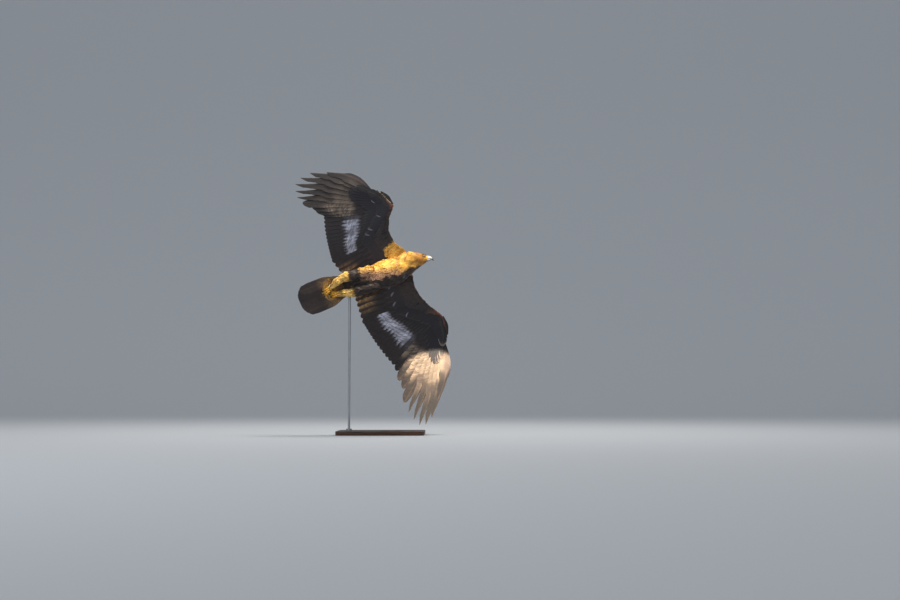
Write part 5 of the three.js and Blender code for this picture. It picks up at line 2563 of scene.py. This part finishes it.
UPPER_BILL = (
    BillStation(4, 0, 13, 13),
    BillStation(24, 1, 13, 14),
    BillStation(36, 1, 11.5, 14, 4),
    BillStation(46, -1, 9, 12, 16),
    BillStation(54, -5.5, 6.6, 9, 38),
    BillStation(60, -12, 4.4, 6, 62),
    BillStation(62.5, -20, 2, 2.6, 80),
    BillStation(62.6, -26, 0.5, 0.6, 84),
)
LOWER_BILL = (
    BillStation(4, -15, 12, 7),
    BillStation(28, -14.5, 10.5, 6.5),
    BillStation(42, -14, 7.5, 5),
    BillStation(52, -12.5, 3, 2),
)


BILL_ROOT = (34.0, 0.0, 0.0)


@dataclass(frozen=True)
class BillSizes:
    """The cere's ends, the nostrils and the lips."""

    cere_back: float = 5.0
    cere_front: float = 36.0
    cere_swell: float = 0.5
    jaw_back: float = 8.0
    under: float = 0.86
    nostril: Point = (29.0, 5.0)
    nostril_size: Point = (1.7, 3.6)
    nostril_depth: float = 3.0
    lip: tuple[Triple, ...] = (
        (35, 8, -9.5), (26, 13.5, -10.5), (17, 19.5, -11.5), (8, 25, -14.5)
    )
    lip_radii: tuple[float, ...] = (1.3, 2.3, 2.4, 1.2)
    lip_proud: float = -0.5
    lip_grid: tuple[int, int] = (20, 14)
    grid: tuple[int, int] = (48, 40)
    voxel: float = 0.6


class Head:
    """The eyes with their lids, the cere with its lips and nostrils, and the bill."""

    def __init__(self, skin: Skin, bill: BillSizes = BillSizes()) -> None:
        """Keeps the skin round the head's bare parts, and their sizes."""
        self.skin = skin
        self.eye = skin.eye
        self.bill = bill

    def rings(self, stations: Sequence[BillStation], under: float, over: float, grow: float) -> Array:
        """Rings through the bill's stations, with its own height under and over them.

        Args:
            stations: The bill's sections.
            under: The height under them, as a share.
            over: The height over them, as a share.
            grow: How far the rings stand out.

        Returns:
            The rings, as ring by side by coordinate.
        """
        rows = np.array([[s.x, s.z, s.wide, s.high, s.turn] for s in stations])
        rings = []
        count, sides = self.bill.grid
        for x, z, wide, high, turn in smooth_path(rows, count):
            lean = math.radians(turn)
            upward = np.array([math.sin(lean), 0, math.cos(lean)])
            halves = (wide + grow, high * over + grow, high * under + grow)
            rings.append(oval_ring(np.array([x, 0, z]), AWAY, upward, *halves, sides))
        return np.array(rings)

    def part(self, name: str, rings: Array, low: float, high: float) -> Piece:
        """The stretch of a bill's rings between two places along it, as a rounded piece.

        Args:
            name: The new object's name.
            rings: The bill's rings.
            low: Where it starts.
            high: Where it ends.

        Returns:
            The object.
        """
        middle = rings[:, :, 0].mean(1)
        kept = rings[(middle >= low) & (middle <= high)]
        piece = loft(name, HEAD.plan(kept))
        bpy.ops.object.shade_smooth_by_angle(angle=math.radians(50))
        return piece

    def cere(self) -> Piece:
        """The yellow cere, with its lips and nostrils.

        Returns:
            The joined object.
        """
        bill = self.bill
        upper = self.rings(UPPER_BILL, bill.under, 1.0, bill.cere_swell)
        parts = [self.part("cere", upper, bill.cere_back, bill.cere_front)]
        for side in Side:
            path = HEAD.plan(smooth_path(np.array(bill.lip) * (1, side.value, 1), bill.lip_grid[0]))
            for index, point in enumerate(path):
                place, normal, _ = self.skin.nearest(point)
                share = float(smoothstep(np.linalg.norm(place - point), 6, 2))
                path[index] = point * (1 - share) + (place + normal * bill.lip_proud) * share
            parts.append(loft("lip", tube(path, bill.lip_radii, bill.lip_grid[1], UP)))
        piece = join(parts, "cere skin")
        apply_modifier(piece, "REMESH", mode="VOXEL", voxel_size=bill.voxel * MM)
        apply_modifier(piece, "SMOOTH", factor=0.5, iterations=6)
        own = head_points(piece)
        hollow = np.hypot(*((own[:, (0, 2)] - bill.nostril) / bill.nostril_size).T)
        own[:, 1] -= np.sign(own[:, 1]) * bill.nostril_depth * (1 - smoothstep(hollow, 0.7, 1.1))
        set_head_points(piece, own)
        apply_modifier(piece, "SMOOTH", factor=0.5, iterations=2)
        bpy.ops.object.shade_smooth()
        return piece

    def lids(self) -> Piece:
        """The lids of both eyes, as a soft rim that hugs each eyeball.

        Returns:
            The joined object.
        """
        eye = self.eye
        rings = []
        for side in Side:
            thin, add = 0.25, bpy.ops.mesh.primitive_torus_add
            ring = primitive(add, "lid", minor_radius=thin, major_segments=72, minor_segments=16)
            own = coordinates(ring)
            turn = np.arctan2(own[:, 1], own[:, 0])
            spread = (np.hypot(own[:, 0], own[:, 1]) - 1) / thin
            angle = np.radians(eye.rim(turn) + eye.band * (1 + spread))
            reach = eye.radius + eye.lid * (0.3 + own[:, 2] / thin) * (1.2 - 0.6 * spread)
            gaze = eye.gaze(side)
            upward = unit(UP - gaze * gaze[2])
            ahead = np.cross(upward, gaze) * -side.value
            beside = np.cos(turn)[:, None] * ahead + np.sin(turn)[:, None] * upward
            aim = np.cos(angle)[:, None] * gaze + np.sin(angle)[:, None] * beside
            set_head_points(ring, eye.centre(side) + aim * reach[:, None])
            finish_mesh(ring)
            bpy.ops.object.shade_smooth()
            rings.append(ring)
        return join(rings, "eyelids")

    def build(self, finishes: dict[str, Material], eye_finish: Callable[[Side], Material]) -> None:
        """Builds the head's bare parts.

        Args:
            finishes: The named materials.
            eye_finish: Makes an eye's material from its side.
        """
        bill = self.bill
        dress(self.cere(), finishes["cere"], Slot.SKIN, "cere")
        rings = self.rings(UPPER_BILL, bill.under, 1.0, 0.0)
        upper = self.part("upper bill", rings, bill.cere_front - 3, 70)
        dress(upper, finishes["bill"], Slot.HORN, "bill_upper")
        lower = self.part("lower bill", self.rings(LOWER_BILL, 1.0, 0.5, -0.2), bill.jaw_back, 60)
        dress(lower, finishes["bill"], Slot.HORN, "bill_lower")
        dress(self.lids(), finishes["lid"], Slot.SKIN)
        for side in Side:
            eyeball = ball(f"{side.word} eye", self.eye.centre(side), [self.eye.radius] * 3, HEAD, 64)
            dress(eyeball, eye_finish(side), Slot.EYE, f"eye_{side.word}")


# Feet


@dataclass(frozen=True)
class Toe:
    """One toe and its claw, each as places back and down from the foot's root."""

    name: str
    side: float
    path: tuple[Point, ...]
    claw: tuple[Point, ...]


TOES = (
    Toe("outer", 9, ((0, 0), (12, 9), (26, 11), (37, 4)), ((47, -2), (52, -11), (49, -21))),
    Toe("middle", 0, ((0, 2), (13, 11), (30, 12), (42, 3)), ((52, -4), (57, -14), (53, -25))),
    Toe("inner", -9, ((0, 0), (12, 9), (26, 11), (37, 4)), ((47, -2), (52, -12), (48, -23))),
    Toe("rear", 0, ((0, -3), (3, -10), (12, -14)), ((24, -15), (35, -11), (41, -1))),
)


class Foot:
    """One clenched foot with its claws."""

    toe_radii = (7.2, 6.0, 6.0, 5.0)
    claw_radii = (4.7, 4.0, 2.6, 0.4)
    knuckle = 0.06
    knuckles = 5
    spread = 60.0
    grid = (40, 20)
    pad = (12.0, 12.5, 11.0)

    def __init__(self, leg: LegPose) -> None:
        """Works out which way the foot points.

        Args:
            leg: The leg that the foot ends.
        """
        self.leg = leg
        self.root = np.array(leg.foot, float)
        self.along = unit(self.root - np.array(leg.ankle, float))
        self.across = AWAY * leg.side.value
        self.down = unit(np.cross(self.along, AWAY))

    def place(self, side: float, point: Point) -> Array:
        """A plan point of a toe."""
        back, under = point
        out = side * (1 + back / self.spread)
        return self.root + self.across * out + self.along * back + self.down * under

    def limb(self, name: str, points: Sequence[Array], radii: Sequence[float], scutes: float) -> Piece:
        """A tapered, curved limb, ridged by its scutes.

        Args:
            name: The new object's name.
            points: The plan points it passes through.
            radii: Radii at even places along it.
            scutes: How high its ridges are, as a share.

        Returns:
            The object.
        """
        path = smooth_path(points, self.grid[0])
        rings = tube(path, radii, self.grid[1], self.down)
        centre = rings.mean(1, keepdims=True)
        turns = np.linspace(0, self.knuckles * math.tau, len(path))
        ridges = 1 + scutes * np.sin(turns)[:, None, None]
        piece = loft(name, centre + (rings - centre) * ridges)
        bpy.ops.object.shade_smooth()
        return piece

    def build(self, finishes: dict[str, Material]) -> None:
        """Builds the foot's pieces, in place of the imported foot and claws.

        Args:
            finishes: The named materials.
        """
        word = self.leg.side.word
        parts = [ball("pad", self.root, self.pad, Pose(at=(0, 0, 0)))]
        for toe in TOES:
            points = [self.place(toe.side, p) for p in toe.path]
            parts.append(self.limb("toe", points, self.toe_radii, self.knuckle))
        dress(join(parts, f"{word} foot skin"), finishes["foot"], Slot.SKIN, f"foot_{word}")
        for toe in TOES:
            points = [self.place(toe.side, p) for p in (toe.path[-1], *toe.claw)]
            claw = self.limb(f"{word} {toe.name} claw", points, self.claw_radii, 0.0)
            dress(claw, finishes["claw"], Slot.HORN, f"claw_{word}_{toe.name}")


# Stand and studio


@dataclass(frozen=True)
class StandSizes:
    """The stand's details, in metres."""

    corner: float = 0.040
    edge: float = 0.003
    rod: float = 0.007
    collar: float = 0.017
    collar_height: float = 0.012
    lip: float = 0.0015


class Stand:
    """The wooden base and the steel rod with its collar."""

    def __init__(self, sizes: StandSizes = StandSizes()) -> None:
        """Keeps the stand's sizes."""
        self.sizes = sizes

    def base(self) -> Piece:
        """A board with rounded corners and a softened edge.

        Returns:
            The object.
        """
        low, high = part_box("stand_base")
        board = primitive(bpy.ops.mesh.primitive_cube_add, "stand board", size=1)
        middle, size = (np.array(low) + np.array(high)) / 2, np.array(high) - np.array(low)
        set_coordinates(board, coordinates(board) * size + middle)
        self.bevel(board, True, self.sizes.corner, 12)
        self.bevel(board, False, self.sizes.edge, 3)
        bpy.ops.object.shade_smooth_by_angle(angle=math.radians(30))
        return board

    def bevel(self, piece: Piece, upright: bool, width: float, segments: int) -> None:
        """Rounds the edges that stand upright, or those that run level round the board.

        Args:
            piece: The object.
            upright: Whether it is the upright edges.
            width: How wide the rounding is.
            segments: How finely it is rounded.
        """
        select(piece)
        bpy.ops.object.mode_set(mode="EDIT")
        bpy.ops.mesh.select_mode(type="EDGE")
        mesh = bmesh.from_edit_mesh(piece.data)
        for edge in mesh.edges:
            first, second = edge.verts
            edge.select_set((abs(first.co.z - second.co.z) > self.sizes.edge) == upright)
        bpy.ops.mesh.bevel(offset=width, segments=segments, profile=0.5)
        bpy.ops.object.mode_set(mode="OBJECT")

    def post(self) -> Piece:
        """The rod and the collar at its foot, as one turned piece.

        Returns:
            The object.
        """
        low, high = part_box("stand_rod")
        sizes = self.sizes
        x, y = (low[0] + high[0]) / 2, (low[1] + high[1]) / 2
        lip, foot, top = sizes.lip, low[2], low[2] + sizes.collar_height
        profile = ((0.0, foot), (sizes.collar, foot), (sizes.collar, top - lip), (sizes.collar - lip, top))
        profile += ((sizes.rod + lip, top), (sizes.rod, top + lip), (sizes.rod, high[2]), (0.0, high[2]))
        turns = np.linspace(0, 2 * math.pi, 48, endpoint=False)
        rings = [[(x + r * math.cos(t), y + r * math.sin(t), z) for t in turns] for r, z in profile]
        post = loft("stand post", PLAN.plan(rings))
        bpy.ops.object.shade_smooth_by_angle(angle=math.radians(40))
        return post

    def build(self, finishes: dict[str, Material]) -> None:
        """Builds the stand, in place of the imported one."""
        dress(self.base(), finishes["wood"], Slot.WOOD, "stand_base")
        dress(self.post(), finishes["steel"], Slot.STEEL, "stand_rod")


BODY_PARTS = ("neck", "head", "breast", "rear", "leg", "skin", "tail", "cere", "eyelids", "upper", "lower")
PAIRED_PARTS = ("eye", "foot", "outer", "middle", "inner", "rear")
WING_PARTS = ("flight", "great", "median", "alula", "scapulars", "wing")


def paired(parts: Sequence[str]) -> tuple[str, ...]:
    """How the names of paired pieces start, left and then right."""
    return tuple(f"{side.word}_{part}" for side in Side for part in parts)


class Lit(Enum):
    """What a lamp lights: everything, the body with its legs and tail, the wings, or the left wing."""

    ALL = ()
    BODY = BODY_PARTS + paired(PAIRED_PARTS)
    WINGS = paired(WING_PARTS)
    LEFT_WING = paired(WING_PARTS)[: len(WING_PARTS)]


@dataclass(frozen=True)
class Lamp:
    """One soft lamp."""

    name: str
    at: Triple
    power: float
    size: float
    tone: Colour
    lit: Lit = Lit.ALL


@dataclass(frozen=True)
class StudioSizes:
    """The camera as the photograph shows it, the floor and the lights."""

    eye: Triple = (0.4094, -7.989, 0.235)
    pitch: float = 4.072
    lens: float = 53.44
    width: float = 160.0
    front: float = -80.0
    rear: float = 8.0
    curve: float = 5.0
    height: float = 60.0
    fill: float = 0.42
    lamps: tuple[Lamp, ...] = (
        Lamp("body key", (1.2, -1.8, 4.6), 330.0, 1.0, (1.0, 0.88, 0.68), Lit.BODY),
        Lamp("wing key", (0.5, 1.3, 5.0), 330.0, 1.2, (1.0, 0.90, 0.76), Lit.WINGS),
        Lamp("top", (0.5, 0.9, 5.0), 120.0, 1.6, (1.0, 0.96, 0.9)),
        Lamp("front", (-3.0, -5.5, 3.0), 60.0, 4.0, (0.88, 0.93, 1.0)),
    )
    spot_at: Triple = (0.55, -1.7, 2.1)
    spot_to: Triple = (0.29, 0.03, 0.235)
    spot_radius: float = 0.26
    spot_power: float = 1350.0
    spot_blend: float = 0.12
    spot_size: float = 0.01
    spot_tone: Colour = (1.0, 0.88, 0.68)
    surround: Colour = (0.88, 0.93, 1.0)
    floor_rows: int = 160
    far: float = 200.0


class Studio:
    """The floor with its curved backdrop, the soft lights and the camera."""

    def __init__(self, sizes: StudioSizes = StudioSizes()) -> None:
        """Keeps the studio's sizes."""
        self.sizes = sizes

    def floor(self) -> None:
        """A plain pale floor that curves up behind the stand."""
        sizes = self.sizes
        add = bpy.ops.mesh.primitive_grid_add
        floor = primitive(add, "floor", x_subdivisions=1, y_subdivisions=sizes.floor_rows, size=2)
        flat = coordinates(floor)
        arc = sizes.curve * math.pi / 2
        run = (flat[:, 1] + 1) / 2 * (sizes.rear - sizes.front + arc + sizes.height) + sizes.front
        turn = np.clip((run - sizes.rear) / sizes.curve, 0, math.pi / 2)
        above = np.maximum(run - sizes.rear - arc, 0)
        y = np.minimum(run, sizes.rear) + sizes.curve * np.sin(turn)
        z = sizes.curve * (1 - np.cos(turn)) + above
        set_coordinates(floor, np.stack([flat[:, 0] * sizes.width / 2, y, z], -1))
        bpy.ops.object.shade_smooth()
        floor.data.materials.append(FloorFinish().build())

    def world(self) -> None:
        """A soft, pale surround."""
        world = bpy.data.worlds.new("surround")
        world.use_nodes = True
        background = world.node_tree.nodes["Background"]
        background.inputs["Color"].default_value = (*self.sizes.surround, 1)
        background.inputs["Strength"].default_value = self.sizes.fill
        bpy.context.scene.world = world
        bpy.context.scene.view_settings.view_transform = "Standard"

    def lamp(self, kind: str, name: str, at: Triple, to: Sequence[float], power: float) -> Piece:
        """A lamp that shines at a point.

        Args:
            kind: The lamp's type.
            name: The lamp's name.
            at: Where it stands.
            to: What it shines at.
            power: Its power in watts.

        Returns:
            The lamp.
        """
        deselect()
        bpy.ops.object.light_add(type=kind, location=at)
        lamp = bpy.context.object
        lamp.name = name
        lamp.data.energy = power
        lamp.rotation_euler = (Vector(to) - Vector(at)).to_track_quat("-Z", "Y").to_euler()
        return lamp

    def spot(self) -> None:
        """A spot that picks out the lower hand, as the sun does."""
        sizes = self.sizes
        spot = self.lamp("SPOT", "hand spot", sizes.spot_at, sizes.spot_to, sizes.spot_power)
        reach = math.dist(sizes.spot_at, sizes.spot_to)
        spot.data.spot_size = 2 * math.atan(sizes.spot_radius / reach)
        spot.data.spot_blend = sizes.spot_blend
        spot.data.shadow_soft_size = sizes.spot_size
        spot.data.color = sizes.spot_tone
        self.light_only(spot, Lit.LEFT_WING)

    def light_only(self, lamp: Piece, lit: Lit) -> None:
        """Makes a lamp light only the pieces whose names start as its choice says.

        Args:
            lamp: The lamp.
            lit: What it lights.
        """
        receivers = bpy.data.collections.new(lamp.name + " receivers")
        for piece in bpy.context.scene.objects:
            if piece.name.startswith(lit.value):
                receivers.objects.link(piece)
        lamp.light_linking.receiver_collection = receivers

    def camera(self) -> None:
        """The camera at the photograph's place."""
        deselect()
        bpy.ops.object.camera_add(location=self.sizes.eye)
        camera = bpy.context.object
        camera.rotation_euler = (math.radians(90 + self.sizes.pitch), 0, 0)
        camera.data.lens = self.sizes.lens
        camera.data.clip_end = self.sizes.far
        bpy.context.scene.camera = camera

    def build(self) -> None:
        """Sets the studio up."""
        self.floor()
        self.world()
        for lamp in self.sizes.lamps:
            made = self.lamp("AREA", lamp.name, lamp.at, PLAN.origin, lamp.power)
            made.data.size = lamp.size
            made.data.color = lamp.tone
            if lamp.lit is not Lit.ALL:
                self.light_only(made, lamp.lit)
        self.spot()
        self.camera()


class Eagle:
    """The whole bird, with its materials."""

    def __init__(self) -> None:
        """Builds the node groups that the materials share, and the skin that the rest stands on."""
        self.effects = Effects()
        self.eye = EyeSizes()
        self.wings = [Wing(LEFT_WING), Wing(RIGHT_WING)]
        self.markings = Markings({wing.pose.side: wing for wing in self.wings})
        self.skin = Skin(self.wings, self.eye)

    def eye_finish(self, side: Side) -> Material:
        """The material of one eye."""
        centre = PLAN.world(HEAD.plan(self.eye.centre(side)))
        gaze = PLAN.axes @ rotation(HEAD.roll, HEAD.yaw) @ self.eye.gaze(side)
        finish = EyeFinish(f"{side.word} eye", tuple(centre), tuple(gaze), self.eye.radius * MM)
        return finish.build(self.effects)

    def plumage(self) -> dict[Slot, Material]:
        """The coat's materials by slot.

        Returns:
            The materials by slot.
        """
        small = {"spacing": 240.0, "bump": 0.25}
        large = {"roughness": 0.5, "sheen": 0.1, "shaft": colour(124, 102, 80)}
        made = {
            Slot.BODY: PlumageFinish("body plumage", **small),
            Slot.GOLDEN: PlumageFinish("golden plumage", roughness=0.55, sheen=0.25, **small),
            Slot.WING: PlumageFinish("wing plumage", **large),
            Slot.TAIL: PlumageFinish("tail plumage", **large),
        }
        return {slot: finish.build(self.effects) for slot, finish in made.items()}

    def hard(self) -> dict[str, Material]:
        """The materials of the bare parts.

        Returns:
            The materials by name.
        """
        bill_root = tuple(PLAN.world(HEAD.plan(BILL_ROOT)))
        made = {
            "cere": BareSkinFinish("cere", colour(230, 184, 52), colour(190, 140, 40), 420.0, 0.12),
            "lid": BareSkinFinish("eyelid", colour(112, 88, 50), colour(58, 46, 34), 1200.0, 0.2),
            "foot": BareSkinFinish("toes", colour(224, 170, 44), colour(142, 92, 26), 420.0),
            "bill": HornFinish("bill horn", colour(30, 30, 34), colour(206, 208, 212), bill_root, 0.040),
            "claw": HornFinish("claw horn", colour(14, 13, 14), colour(30, 28, 28), (0.0, 0.0, 0.0), 1.0),
            "wood": WoodFinish(),
            "steel": SteelFinish(),
        }
        return {name: finish.build(self.effects) for name, finish in made.items()}

    def build(self) -> None:
        """Builds every piece of the bird and its stand."""
        plumage, hard = self.plumage(), self.hard()
        self.skin.paint(self.markings)
        limbs = [f"{part}_{side.word}" for part in ("thigh", "tarsus") for side in Side]
        dress(self.skin.piece, SkinFinish().build(self.effects), Slot.BODY, "torso", "neck", "head", *limbs)
        Coat(self.skin, self.markings).build(plumage)
        for wing in self.wings:
            WingPlumage(wing, self.skin, self.markings).build(plumage[Slot.WING])
        TailPlumage(self.skin, self.markings).build(plumage[Slot.TAIL])
        Head(self.skin).build(hard, self.eye_finish)
        for leg in LEGS:
            Foot(leg).build(hard)
        Stand().build(hard)


def main() -> None:
    """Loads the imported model, dresses it and sets the studio round it."""
    logging.basicConfig(level=logging.INFO)
    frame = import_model()
    LOG.info("%d packed nodes", len(frame["nodes"]))
    Eagle().build()
    Studio().build()


if __name__ == "__main__":
    main()
